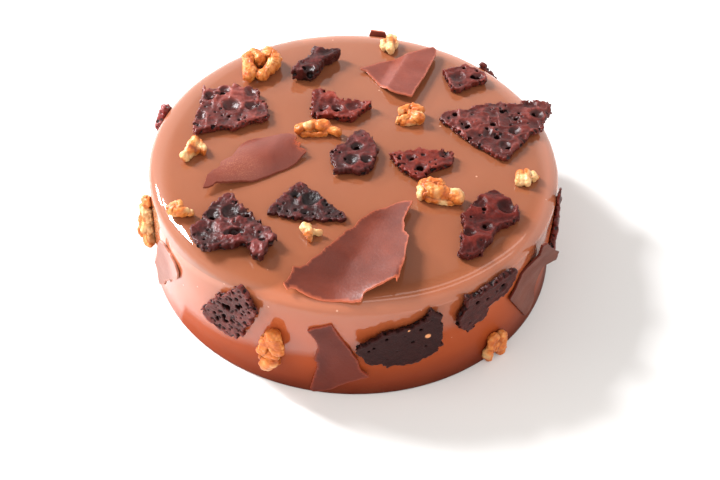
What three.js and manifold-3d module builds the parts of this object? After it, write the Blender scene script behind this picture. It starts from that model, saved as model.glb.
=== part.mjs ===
// Chocolate entremet: a round mousse cake under a caramel glaze, strewn with aerated chocolate,
// smooth chocolate shards and walnut kernels. Millimetres, +Z up. The origin is the centre of the
// flat underside, +X is the cake's right and -Y its front.

import * as THREE from 'three';
import { mergeVertices } from 'three/addons/utils/BufferGeometryUtils.js';
import Module from 'manifold-3d';

const wasm = await Module();
wasm.setup();

// ---------------------------------------------------------------- driving dimensions

const CAKE_RADIUS = 100;
const CAKE_HEIGHT = 60;
const RIM_ACROSS = 12; // the rim is rounded in a quarter of an ellipse: this far in from the wall
const RIM_DOWN = 6; // and this far down from the top
const FOOT_SPREAD = 1.2; // how far the glaze runs out past the wall at its foot
const FOOT_HEIGHT = 8;
const FOOT_EDGE = 0.8; // rounding of that foot's lower edge
const FOOT_HOLLOW = 0.4; // share of the foot's spread and height where it is most hollow
const CAKE_SIDES = 72;
const RIM_STEPS = 5; // flat bands that stand for the rounded rim
const GAP = 0.3; // clearance between a topping and the glaze

const AERATED_PITCH = 9; // grid of the bumpy faces of aerated chocolate
const AERATED_BUMP = 0.13; // height of those bumps, as a share of the thickness
const BUMP_WAVE_X = 0.42; // radians of a bump's wave for each millimetre
const BUMP_WAVE_Y = 0.37;
const BUBBLE_RISE = 0.35; // how far an open bubble's centre lies above the face, in its radii
const AERATED_RAG = 0.8; // how far a broken edge wanders
const AERATED_STEP = 5.5; // length of one straight bit of a broken edge

const SHARD_THICKNESS = 1.2;
const CURL_POWER = 1.5; // how gently a bend sets in
const SHARD_PITCH = 8;
const SHARD_RAG = 0.25;
const SHARD_STEP = 10;

const CUT_DEPTH = 60; // reach of the prism that cuts a slab to its outline
const RIM_REACH = 0.98; // share of the rim's rounding that a draped shard follows

const LOBE_DETAIL = 1; // subdivisions of the octahedron that a lobe or a bubble is made of
const LOBE_FILL = 1.07; // makes up for what its flat faces take off the round form

// Broken pieces are given by their corners, anticlockwise. On top a corner is [x, y] from the
// cake's axis. On the wall it is [along, up]: along the wall from the piece's own azimuth, and
// up from the cake's underside. arch is [direction in degrees, height] of a bulge across the piece.
// curls are [direction in degrees, height, start, end]: how far the piece bends up towards that
// direction, between two shares of the way across it. taper is [direction in degrees, depth,
// start]: how much thinner it gets, from a share of the way on. bubbles are open pores
// [x, y, radius] in the outer face.

const AERATED_ON_TOP = [
  {
    name: 'aerated_01', seed: 11, thickness: 4.4,
    corners: [
      [-79, 8], [-71, 10], [-59, 12], [-53, 17], [-45, 20], [-44, 27], [-49, 33], [-50, 40],
      [-62, 45], [-64, 41], [-77, 41], [-79, 34], [-78, 26], [-81, 16],
    ],
    bubbles: [[-61, 28, 4], [-55, 35, 3], [-72, 33, 2.4], [-66, 36, 2.2], [-58, 17, 2]],
  },
  {
    name: 'aerated_02', seed: 12, thickness: 7.6,
    corners: [
      [-34, 53], [-27, 52.5], [-23, 53], [-20, 56], [-19.5, 60.5], [-17.5, 65], [-13, 68.5],
      [-9.5, 72], [-10.5, 74.5], [-16.5, 73], [-20.5, 74], [-24.5, 77], [-25.5, 68.5],
      [-27.5, 65], [-31.5, 60],
    ],
    bubbles: [[-25, 54, 3], [-18, 70, 3.5]],
  },
  {
    name: 'aerated_03', seed: 13, thickness: 3.8,
    corners: [
      [48, 50], [52, 49], [57, 52], [62, 55], [66, 58], [65, 64], [60, 66], [52, 67],
      [47, 65], [42, 66], [46, 57],
    ],
    bubbles: [[58, 59, 2.6], [54, 64, 1.8], [62, 61, 1.6]],
  },
  {
    name: 'aerated_04', seed: 14, thickness: 4,
    corners: [
      [-21, 24], [-12, 24], [-1, 24], [5, 29], [7, 36], [-2, 38], [-8, 38], [-13, 43],
      [-19, 45], [-23, 42], [-23, 30],
    ],
    bubbles: [[-15, 41, 2], [-17, 30, 2.6], [-9, 29, 2.2], [-3, 36, 2.4]],
  },
  {
    name: 'aerated_05', seed: 15, thickness: 4.2,
    corners: [
      [-11, -16], [-2, -15], [4, -16], [8, -14], [10, -6], [11, 3], [7, 12], [3, 15],
      [-4, 8], [-10, 1], [-13, -5], [-9, -12],
    ],
    bubbles: [[1, 1, 2.6], [-6, -6, 2.2], [-1, -9, 2.4], [6, -8, 1.8]],
  },
  {
    name: 'aerated_06', seed: 16, thickness: 3.6,
    corners: [
      [17, -4], [21, -9], [27, -16], [30, -17], [38, -12], [45, -9], [49, -3], [49, 2],
      [40, 2], [31, 2], [24, 0],
    ],
    bubbles: [[24, -5, 2], [31, -5, 2.2], [34, -11, 3], [42, -3, 2.2]],
  },
  {
    name: 'aerated_07', seed: 17, thickness: 4.8,
    corners: [
      [49, -69], [55, -69], [62, -64], [65, -57], [70, -50], [78, -44], [78, -36], [73, -30],
      [67, -25], [59, -30], [55, -37], [51, -43], [52, -50], [51, -60],
    ],
    bubbles: [[70, -35, 3.6], [60, -42, 2.4], [58, -54, 2.2], [55, -58, 3]],
  },
  {
    name: 'aerated_08', seed: 18, thickness: 2.2,
    corners: [
      [-30, -47], [-20, -47], [-8, -48], [-1, -47], [-6, -40], [-12, -35], [-16, -28],
      [-25, -24], [-30, -29], [-36, -36], [-39, -45],
    ],
    bubbles: [[-28, -32, 2], [-20, -35, 3.4], [-12, -44, 2.2], [-13, -38, 1.8]],
  },
  {
    name: 'aerated_09', seed: 19, thickness: 5.8,
    corners: [
      [-67, -72], [-54, -69.5], [-47.5, -67.5], [-44.5, -70], [-42.5, -75], [-40.5, -76.5],
      [-37.5, -71], [-34, -64], [-37, -57.5], [-42, -53], [-47, -48], [-52, -43], [-55, -37],
      [-60, -38], [-65, -44], [-68, -52], [-73, -60], [-69, -67],
    ],
    bubbles: [[-63, -52, 3.4], [-54, -51, 3.6], [-49, -55, 3], [-55, -62, 3.6], [-43, -64, 3]],
  },
  {
    name: 'aerated_10', seed: 20, thickness: 3.2,
    corners: [
      [46, 19], [52, 11], [63, 3], [71, -2], [76, 0], [82, 9], [87, 18], [93, 24], [97, 32],
      [99, 41], [93, 43], [80, 40], [68, 39], [56, 35], [43, 31], [42, 25],
    ],
    bubbles: [[83, 23, 4], [92, 32, 3], [57, 20, 2.4], [68, 17, 2.6], [75, 30, 2.2]],
  },
];

const AERATED_ON_WALL = [
  {
    name: 'aerated_11', seed: 21, azimuth: -121, thickness: 3,
    corners: [
      [-16.5, 30], [-10, 26], [-2.5, 23.5], [4.5, 24.5], [9, 34], [12.5, 42], [14, 47.5],
      [11.5, 55], [6.5, 62.5], [1, 56], [-2, 52], [-9, 45], [-12, 39],
    ],
    bubbles: [[-3, 42, 2.6], [4, 47, 2.2], [-4, 34, 2.2], [9, 51, 1.8]],
  },
  {
    name: 'aerated_12', seed: 22, azimuth: -74, thickness: 3,
    corners: [
      [-22, 33], [-18, 27.5], [-8, 22], [3, 22.5], [14, 27], [16.5, 33], [16, 45], [13.5, 54],
      [10, 55], [7, 50], [2, 48], [-8, 46.5], [-13, 43], [-24, 39],
    ],
    bubbles: [[10, 38, 1.8], [4, 44, 1.6], [-12, 36, 1.4]],
  },
  {
    name: 'aerated_13', seed: 23, azimuth: -52, thickness: 3,
    corners: [
      [-13, 36], [-9, 33.5], [-1, 35], [0, 39], [2, 44], [7, 44.5], [11, 45], [16, 55.5],
      [15, 59.5], [6, 57], [0, 56], [-6, 55], [-12, 57], [-15, 47], [-16, 41],
    ],
    bubbles: [[8, 51, 1.8], [-2, 49, 1.6], [-10, 45, 2]],
  },
  {
    name: 'aerated_14', seed: 24, azimuth: -11, thickness: 2.8, taper: [90, 1.6, 0.45],
    corners: [
      [-7, 22], [3, 21], [9, 28], [8.5, 36], [6, 46], [2.5, 56], [0.5, 63], [-1.5, 63],
      [-3.5, 55], [-6.5, 46], [-9, 34],
    ],
    bubbles: [[0, 45, 2.4], [2, 30, 2]],
  },
  {
    name: 'aerated_15', seed: 25, azimuth: 163, thickness: 4.2,
    corners: [
      [-9, 52], [-6, 48], [0, 43], [6, 42], [8.5, 46], [7, 52], [3, 56], [-3, 57.5], [-7, 55.5],
    ],
    bubbles: [[1, 50, 2.4]],
  },
  {
    name: 'aerated_16', seed: 26, azimuth: 48, thickness: 2.4,
    corners: [
      [-6, 50], [-3, 44], [3, 42], [6, 47], [6.5, 54], [4.5, 59], [2.5, 58], [0.5, 55.5],
      [-3, 54.5],
    ],
    bubbles: [[1, 49, 2]],
  },
];

const SHARDS_ON_TOP = [
  {
    name: 'shard_01', seed: 31, curls: [[-20, 3.4, 0.42, 0.6], [170, 1.6, 0.6, 1]],
    corners: [
      [16.5, 45], [21, 43], [27.5, 41], [31.5, 51.5], [37, 66.5], [40.5, 79], [38.5, 82],
      [26, 76], [15, 72.5], [5, 66.5], [0.5, 64], [6.5, 59],
    ],
  },
  {
    name: 'shard_02', seed: 32, arch: [125, 4],
    corners: [
      [-69, -28.5], [-65, -25], [-54, -23.5], [-44.5, -21.5], [-34, -14.5], [-27.5, -8.5],
      [-23.5, -1], [-24, 1.5], [-28.5, 10], [-31, 12], [-41, 10], [-49.5, 7], [-55.5, 2],
      [-58, -3], [-64, -11], [-67.5, -17], [-70, -20],
    ],
  },
  {
    name: 'shard_03', seed: 33, curls: [[-19, 8, 0.5, 1], [152, 4.5, 0.5, 1]], draped: true,
    corners: [
      [-27, -92], [-21, -92.5], [-11, -95.5], [2, -97], [6.5, -96.5], [8.5, -92.5], [18.5, -89],
      [22, -89.5], [25, -73], [26.5, -62], [24.5, -56], [24.5, -49], [28, -36], [21, -35],
      [9, -41.5], [1.5, -52], [-7.5, -63], [-17, -74.5], [-22, -80.5], [-25, -81], [-28.5, -91],
    ],
  },
];

const SHARDS_ON_WALL = [
  {
    name: 'shard_04', seed: 34, azimuth: -93.5,
    corners: [
      [-9.5, 3.5], [-6, 3], [1, 4.5], [4.5, 8], [13.5, 13.5], [17, 16.5], [13, 21],
      [11.5, 27], [7.5, 34.5], [2, 44.5], [-0.5, 50], [-8.5, 46.5], [-11, 44], [-7.5, 38.5],
      [-6, 33], [-8, 23.5], [-6, 20.5], [-9, 7],
    ],
  },
  {
    name: 'shard_05', seed: 35, azimuth: -33, curls: [[40, 6, 0.5, 1]],
    corners: [
      [4, 5.5], [8, 5.5], [12, 9.5], [9.5, 19.5], [11, 27.5], [12, 34.5], [18, 34], [21, 33.5],
      [18.5, 42], [8.5, 53], [3, 60], [0, 61], [3, 51], [-0.5, 48], [-8, 45.5], [-12, 38.5],
      [-17, 36], [-4.5, 17.5],
    ],
  },
  {
    name: 'shard_06', seed: 36, azimuth: -149, curls: [[180, 2.6, 0.4, 1]],
    corners: [
      [-8.5, 10], [-3, 17], [3, 24.5], [10.5, 33.5], [12.5, 39.5], [6, 41], [-2, 43.5],
      [-5.5, 43.5], [-7.5, 37], [-8.5, 31], [-10.5, 25], [-9, 20],
    ],
  },
  {
    name: 'shard_07', seed: 37, azimuth: 84.5,
    corners: [[-6, 43], [5, 41], [6.5, 50], [4.2, 59.5], [-3.6, 59.2], [-6, 52]],
  },
];

// Walnut kernels: where each lies, and its lobes as [along, across, up, half sizes of the three].
// On the wall those are along the wall, up it and out of it.

const WALNUTS_ON_TOP = [
  {
    name: 'walnut_01', at: [-50, 61],
    lobes: [
      [-6, 1, 4, 3.5, 4, 4], [-5, -6, 3.5, 3.5, 3.5, 4], [-4, 8, 3.5, 3.5, 3, 4],
      [2, 10, 4, 4.5, 3.2, 4], [4.5, 2, 4.5, 3.5, 6.5, 4.5], [1, -8, 3.5, 5, 3.2, 4],
      [-1, 1, 1.5, 5, 8, 3],
    ],
  },
  {
    name: 'walnut_02', at: [16, 84],
    lobes: [
      [0, 3, 3, 3.6, 3.4, 4], [2.5, 0, 3.5, 3.5, 3.6, 4], [-2.5, -0.5, 3, 3, 3.5, 3.5],
      [0.5, -2.5, 3, 3.2, 2.6, 3.5],
    ],
  },
  {
    name: 'walnut_03', at: [27, 25],
    lobes: [
      [-1, 5, 3.5, 5.5, 3.2, 4], [-4, 1.5, 3.5, 4, 2.8, 4], [-3, -3.5, 3, 5, 2.6, 3.6],
      [4, 2.5, 4, 3.6, 4, 4.2], [3.5, -2, 3.5, 3.6, 3.4, 3.6],
    ],
  },
  {
    name: 'walnut_04', at: [-18, 12],
    lobes: [
      [-5.5, 0.5, 3, 5, 4.5, 4], [5.5, 0.5, 3, 5.8, 4.5, 4], [-4, -3, 2.5, 5, 2.4, 3],
      [0, 0, 2.5, 3.5, 3, 3], [5, -2.8, 2.5, 5, 2.6, 3],
    ],
  },
  {
    name: 'walnut_05', at: [-78, -4],
    lobes: [
      [-3.5, -3, 3.5, 2.8, 4.5, 4], [2.5, 2, 4, 4.5, 4, 4.4], [-1, 4, 3.5, 3.2, 2.8, 3.6],
      [-3.5, -7, 2.5, 2.4, 3.2, 3], [4.5, -2, 3, 2.6, 3, 3.4], [-0.5, 0, 2, 3.5, 3, 2.6],
    ],
  },
  {
    name: 'walnut_06', at: [83, -15],
    lobes: [
      [-3.5, 0, 3.5, 4, 5.2, 4], [3, 1, 3.5, 4, 5, 4], [-1, -4.5, 3, 4.2, 2.6, 3.4],
      [6, -1, 2.5, 2.5, 2.2, 2.6],
    ],
  },
  {
    name: 'walnut_07', at: [41, -29],
    lobes: [
      [-5.5, 1.5, 4, 4.6, 5, 4.4], [-1, 4.5, 4, 3.6, 3.6, 4.4], [0, -1, 4.5, 4.2, 4.5, 4.4],
      [7, -3.5, 3.5, 5, 4, 4], [-5, -4.5, 3, 4.2, 2.6, 3.4], [1.5, -5.5, 3, 4.6, 2.6, 3.4],
    ],
  },
  {
    name: 'walnut_08', at: [-18, -58],
    lobes: [
      [-2, 1, 3, 2.8, 3, 3.4], [3.5, 0.5, 2.5, 2.6, 2.3, 3], [-1, -4, 2.2, 1.9, 3, 2.4],
      [0.5, -1, 2.5, 3, 2.6, 3],
    ],
  },
  {
    name: 'walnut_09', at: [-80, -49],
    lobes: [
      [1, -1, 3.2, 5, 4.5, 4.4], [-4.5, 0.5, 2, 2.8, 4, 3.8], [-1.5, 4, 3.2, 3.6, 2.6, 3.8],
      [5, -1.5, 2.4, 2.6, 3, 3],
    ],
  },
];

const WALNUTS_ON_WALL = [
  {
    name: 'walnut_10', azimuth: -109.3, at: [0, 24],
    lobes: [
      [0.5, 6, 3.6, 6.2, 6.4, 4.6], [-3, 3.5, 3, 3.6, 5, 3.8], [3.4, 4, 3, 3.4, 5.5, 3.8],
      [0.5, -6.8, 3, 4.6, 5, 4], [-3.4, -4.6, 2.6, 2.6, 3.4, 3.4],
    ],
  },
  {
    name: 'walnut_11', azimuth: -45.5, at: [0, 8.6],
    lobes: [
      [2, 2.4, 3, 3.8, 6.2, 4], [5, 0.6, 2.6, 2.4, 4.4, 3.2], [-5, -3.4, 3, 3, 4.6, 3.6],
      [-2.6, 0.6, 2.2, 3.4, 5, 3],
    ],
  },
  {
    name: 'walnut_12', azimuth: -168, at: [0, 29],
    lobes: [
      [0, 3, 4, 6, 8, 4.2], [-2, 11, 3, 4.6, 5, 3.6], [1, -5, 3.6, 5.6, 7, 4.2],
      [-1, -11.5, 2.6, 4.4, 4, 3.2], [-5, 1, 2.6, 3, 9, 3.4], [5, 0, 2.6, 3, 9, 3.4],
    ],
  },
];

const LOOKS = {
  glaze: { color: 0xc8866a, roughness: 0.12, metalness: 0 },
  aerated: { color: 0x6b3b38, roughness: 0.45, metalness: 0 },
  chocolate: { color: 0x9c6455, roughness: 0.3, metalness: 0 },
  walnut: { color: 0xdd9a55, roughness: 0.55, metalness: 0 },
};

// ---------------------------------------------------------------- solids and meshes

function solidOf(geometry) {
  const bare = geometry.clone();
  bare.deleteAttribute('normal');
  bare.deleteAttribute('uv');
  const merged = mergeVertices(bare, 1e-4);
  const mesh = new wasm.Mesh({
    numProp: 3,
    vertProperties: new Float32Array(merged.attributes.position.array),
    triVerts: new Uint32Array(merged.index.array),
  });
  return new wasm.Manifold(mesh);
}

function geometryOf(solid) {
  const mesh = solid.getMesh();
  const geometry = new THREE.BufferGeometry();
  geometry.setAttribute('position', new THREE.BufferAttribute(mesh.vertProperties, 3));
  geometry.setIndex(new THREE.BufferAttribute(mesh.triVerts, 1));
  geometry.computeVertexNormals();
  return geometry;
}

function namedMesh(name, geometry, look) {
  const mesh = new THREE.Mesh(geometry, new THREE.MeshStandardMaterial(LOOKS[look]));
  mesh.name = name;
  return mesh;
}

// A repeatable stream of numbers from 0 to 1.
function randomFrom(seed) {
  let state = (seed * 7919) % 233280;
  return () => {
    state = (state * 9301 + 49297) % 233280;
    return state / 233280;
  };
}

// ---------------------------------------------------------------- cake

// The glazed outside, grown outwards by a margin.
function cakeGeometry(margin) {
  const wall = CAKE_RADIUS + margin;
  const profile = [
    new THREE.Vector2(0, -margin),
    new THREE.Vector2(wall + FOOT_SPREAD - FOOT_EDGE, -margin),
    new THREE.Vector2(wall + FOOT_SPREAD, FOOT_EDGE),
    new THREE.Vector2(wall + FOOT_SPREAD * FOOT_HOLLOW, FOOT_HEIGHT * FOOT_HOLLOW),
    new THREE.Vector2(wall, FOOT_HEIGHT),
  ];
  for (let i = 0; i <= RIM_STEPS; i += 1) {
    const angle = (Math.PI / 2) * (i / RIM_STEPS);
    const x = CAKE_RADIUS - RIM_ACROSS + (RIM_ACROSS + margin) * Math.cos(angle);
    const z = CAKE_HEIGHT - RIM_DOWN + (RIM_DOWN + margin) * Math.sin(angle);
    profile.push(new THREE.Vector2(x, z));
  }
  profile.push(new THREE.Vector2(0, CAKE_HEIGHT + margin));
  const geometry = new THREE.LatheGeometry(profile, CAKE_SIDES);
  geometry.rotateX(Math.PI / 2);
  return geometry;
}

// Height of the glaze above or below the flat top, at a distance from the axis.
function glazeDrop(x, y) {
  const beyond = Math.hypot(x, y) - (CAKE_RADIUS - RIM_ACROSS);
  const share = THREE.MathUtils.clamp(beyond / RIM_ACROSS, 0, RIM_REACH);
  return RIM_DOWN * (Math.sqrt(1 - share ** 2) - 1);
}

// ---------------------------------------------------------------- broken pieces

// A broken outline: every edge is split into short bits whose ends wander sideways.
function raggedOutline(corners, step, rag, random) {
  const points = [];
  corners.forEach((corner, i) => {
    const start = new THREE.Vector2(...corner);
    const end = new THREE.Vector2(...corners[(i + 1) % corners.length]);
    const along = end.clone().sub(start);
    const outward = new THREE.Vector2(along.y, -along.x).normalize();
    const bits = Math.max(1, Math.round(along.length() / step));
    points.push(start);
    for (let bit = 1; bit < bits; bit += 1) {
      const wander = (random() * 2 - 1) * rag;
      points.push(start.clone().addScaledVector(along, bit / bits).addScaledVector(outward, wander));
    }
  });
  return points;
}

// Share of the way across the corners in a direction, from 0 at one end to 1 at the other.
function shareAcross(corners, degrees) {
  const angle = THREE.MathUtils.degToRad(degrees);
  const reach = (x, y) => x * Math.cos(angle) + y * Math.sin(angle);
  const reaches = corners.map(([x, y]) => reach(x, y));
  const low = Math.min(...reaches);
  const span = Math.max(...reaches) - low;
  return (x, y) => THREE.MathUtils.clamp((reach(x, y) - low) / span, 0, 1);
}

// Height of a piece's underside above the surface it lies on.
function liftOf(piece) {
  const [archWay, archHeight] = piece.arch ?? [0, 0];
  const arched = shareAcross(piece.corners, archWay);
  const curls = (piece.curls ?? []).map(([way, height, start, end]) => {
    const share = shareAcross(piece.corners, way);
    const bent = (x, y) => THREE.MathUtils.clamp((share(x, y) - start) / (end - start), 0, 1);
    return (x, y) => height * bent(x, y) ** CURL_POWER;
  });
  return (x, y) => {
    const across = arched(x, y);
    const arch = archHeight * 4 * across * (1 - across);
    return curls.reduce((total, curl) => total + curl(x, y), arch);
  };
}

// How much thinner than its thickness a piece is.
function thinningOf(piece) {
  const [way, depth, start] = piece.taper ?? [0, 0, 0];
  const share = shareAcross(piece.corners, way);
  return (x, y) => depth * Math.max(0, share(x, y) - start) / (1 - start);
}

// The body between an underside and an outer face, both functions of x and y, within an outline.
function slabSolid(outline, pitch, underside, outerFace) {
  const box = new THREE.Box2().setFromPoints(outline).expandByScalar(1);
  const size = box.getSize(new THREE.Vector2());
  const centre = box.getCenter(new THREE.Vector2());
  const columns = Math.ceil(size.x / pitch);
  const rows = Math.ceil(size.y / pitch);
  const slab = new THREE.BoxGeometry(size.x, size.y, 1, columns, rows, 1);
  const position = slab.attributes.position;
  for (let i = 0; i < position.count; i += 1) {
    const x = position.getX(i) + centre.x;
    const y = position.getY(i) + centre.y;
    const z = position.getZ(i) > 0 ? outerFace(x, y) : underside(x, y);
    position.setXYZ(i, x, y, z);
  }
  const prism = new THREE.ExtrudeGeometry(new THREE.Shape(outline), {
    depth: CUT_DEPTH,
    bevelEnabled: false,
  });
  prism.translate(0, 0, -CUT_DEPTH / 2);
  return solidOf(slab).intersect(solidOf(prism));
}

// Aerated chocolate: a bumpy slab with a ragged edge and open bubbles.
function aeratedSolid(piece) {
  const random = randomFrom(piece.seed);
  const outline = raggedOutline(piece.corners, AERATED_STEP, AERATED_RAG, random);
  const lift = liftOf(piece);
  const turn = random() * Math.PI * 2;
  const thinning = thinningOf(piece);
  const bump = (x, y) => Math.sin(x * BUMP_WAVE_X + turn) * Math.cos(y * BUMP_WAVE_Y - turn);
  const fullness = (x, y) => piece.thickness * (1 + AERATED_BUMP * bump(x, y)) - thinning(x, y);
  const underside = (x, y) => GAP + lift(x, y);
  const outerFace = (x, y) => underside(x, y) + fullness(x, y);
  let solid = slabSolid(outline, AERATED_PITCH, underside, outerFace);
  for (const [x, y, radius] of piece.bubbles) {
    const bubble = new THREE.OctahedronGeometry(radius * LOBE_FILL, LOBE_DETAIL);
    bubble.translate(x, y, outerFace(x, y) + radius * BUBBLE_RISE);
    solid = solid.subtract(solidOf(bubble));
  }
  return solid;
}

// A smooth chocolate shard: a thin bent plate with clean broken edges.
function shardSolid(piece) {
  const outline = raggedOutline(piece.corners, SHARD_STEP, SHARD_RAG, randomFrom(piece.seed));
  const lift = liftOf(piece);
  const drop = piece.draped ? glazeDrop : () => 0;
  const underside = (x, y) => GAP + lift(x, y) + drop(x, y);
  const outerFace = (x, y) => underside(x, y) + SHARD_THICKNESS;
  return slabSolid(outline, SHARD_PITCH, underside, outerFace);
}

// ---------------------------------------------------------------- walnut kernels

function walnutSolid(piece) {
  const lobes = piece.lobes.map(([x, y, z, halfX, halfY, halfZ]) => {
    const lobe = new THREE.OctahedronGeometry(LOBE_FILL, LOBE_DETAIL);
    lobe.scale(halfX, halfY, halfZ);
    lobe.translate(x + piece.at[0], y + piece.at[1], z);
    return solidOf(lobe);
  });
  return lobes.reduce((joined, lobe) => joined.add(lobe));
}

// ---------------------------------------------------------------- assembly

// A group whose own z points out of the surface: the flat top, or the wall at an azimuth.
function groupOnTop() {
  const group = new THREE.Group();
  group.position.set(0, 0, CAKE_HEIGHT);
  return group;
}

function groupOnWall(azimuth) {
  const angle = THREE.MathUtils.degToRad(azimuth);
  const along = new THREE.Vector3(-Math.sin(angle), Math.cos(angle), 0);
  const up = new THREE.Vector3(0, 0, 1);
  const outward = new THREE.Vector3(Math.cos(angle), Math.sin(angle), 0);
  const group = new THREE.Group();
  group.position.copy(outward).multiplyScalar(CAKE_RADIUS);
  group.quaternion.setFromRotationMatrix(new THREE.Matrix4().makeBasis(along, up, outward));
  return group;
}

// Cuts away what of a topping would sink into the glaze, leaving the gap.
function clearOfCake(solid, group) {
  group.updateMatrix();
  const grown = cakeGeometry(GAP).applyMatrix4(group.matrix.clone().invert());
  return solid.subtract(solidOf(grown));
}

function addTopping(parent, group, name, solid, look) {
  group.add(namedMesh(name, geometryOf(clearOfCake(solid, group)), look));
  parent.add(group);
}

const entremet = new THREE.Group();
entremet.add(namedMesh('cake', geometryOf(solidOf(cakeGeometry(0))), 'glaze'));

for (const piece of [...AERATED_ON_TOP, ...AERATED_ON_WALL]) {
  const group = piece.azimuth === undefined ? groupOnTop() : groupOnWall(piece.azimuth);
  addTopping(entremet, group, piece.name, aeratedSolid(piece), 'aerated');
}
for (const piece of [...SHARDS_ON_TOP, ...SHARDS_ON_WALL]) {
  const group = piece.azimuth === undefined ? groupOnTop() : groupOnWall(piece.azimuth);
  addTopping(entremet, group, piece.name, shardSolid(piece), 'chocolate');
}
for (const piece of [...WALNUTS_ON_TOP, ...WALNUTS_ON_WALL]) {
  const group = piece.azimuth === undefined ? groupOnTop() : groupOnWall(piece.azimuth);
  addTopping(entremet, group, piece.name, walnutSolid(piece), 'walnut');
}

export default entremet;
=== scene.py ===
"""Looks of the chocolate entremet: glaze, aerated chocolate, smooth shards and walnut kernels."""

import math

import bpy
import numpy as np
from mathutils import Matrix, Vector
from mathutils.geometry import delaunay_2d_cdt


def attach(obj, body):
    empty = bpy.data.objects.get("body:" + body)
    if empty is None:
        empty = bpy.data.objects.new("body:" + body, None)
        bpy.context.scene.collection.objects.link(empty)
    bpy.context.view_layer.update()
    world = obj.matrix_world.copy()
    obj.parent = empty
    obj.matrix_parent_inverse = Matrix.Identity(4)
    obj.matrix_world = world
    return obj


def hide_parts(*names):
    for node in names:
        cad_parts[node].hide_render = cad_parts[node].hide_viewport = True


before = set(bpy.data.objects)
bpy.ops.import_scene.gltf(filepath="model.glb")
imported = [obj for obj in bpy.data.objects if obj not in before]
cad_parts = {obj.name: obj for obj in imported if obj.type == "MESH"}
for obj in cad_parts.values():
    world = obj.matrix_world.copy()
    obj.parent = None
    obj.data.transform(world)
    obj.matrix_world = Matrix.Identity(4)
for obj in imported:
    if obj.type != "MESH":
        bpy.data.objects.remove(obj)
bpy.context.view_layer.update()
scene = bpy.context.scene

MM = 0.001

# ---------------- sizes shared with the solids, mm

CAKE_RADIUS = 100.0
CAKE_HEIGHT = 60.0
RIM_ACROSS = 12.0  # the rim is a quarter of an ellipse: this far in from the wall
RIM_DOWN = 6.0  # and this far down from the top
RIM_REACH = 0.98  # share of that quarter that a draped shard follows
FOOT_SPREAD = 1.2
FOOT_HEIGHT = 8.0
GAP = 0.3  # between the glaze and the topping on it
SINK = 0.4  # how far a topping settles through that gap into the glaze
FLOOR_CLEARANCE = 0.5  # a kernel on the wall ends this far above the surface the cake stands on
SHARD_THICKNESS = 1.2

# ---------------- the photograph's camera

PHOTO_WIDTH = 720  # pixels
PHOTO_HEIGHT = 480
LENS = 70.0  # mm, on a sensor 36 mm wide
SENSOR = 36.0
CAMERA_AT = (4.5, -506.5, 519.6)  # mm from the middle of the cake's foot
CAMERA_DOWN = 45.71  # degrees below the horizon
CAMERA_ROLL = 2.5

# ---------------- the toppings

# Outlines (seen) and marks that the photograph shows are in its pixels, 720 across and 480 down.
# Each is carried along its line of sight to the outer face of the piece, which lies on the glaze.
# Pieces turned away from the camera have corners in mm instead: [along, up] on the wall at an
# azimuth. Marks of an aerated piece: craters are shallow bowls (x, y, radius mm, depth mm), lumps
# are swellings (x, y, radius mm, height mm), holes are deep pores (x, y, radius mm) and specks are
# flecks of nut (x, y, radius mm). taper thins a piece (way in degrees, mm, share of the way where
# it starts), face is a kind of relief from FACES, and ridges and undercut take the place of its
# usual RIDGES and UNDERCUT.

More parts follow.
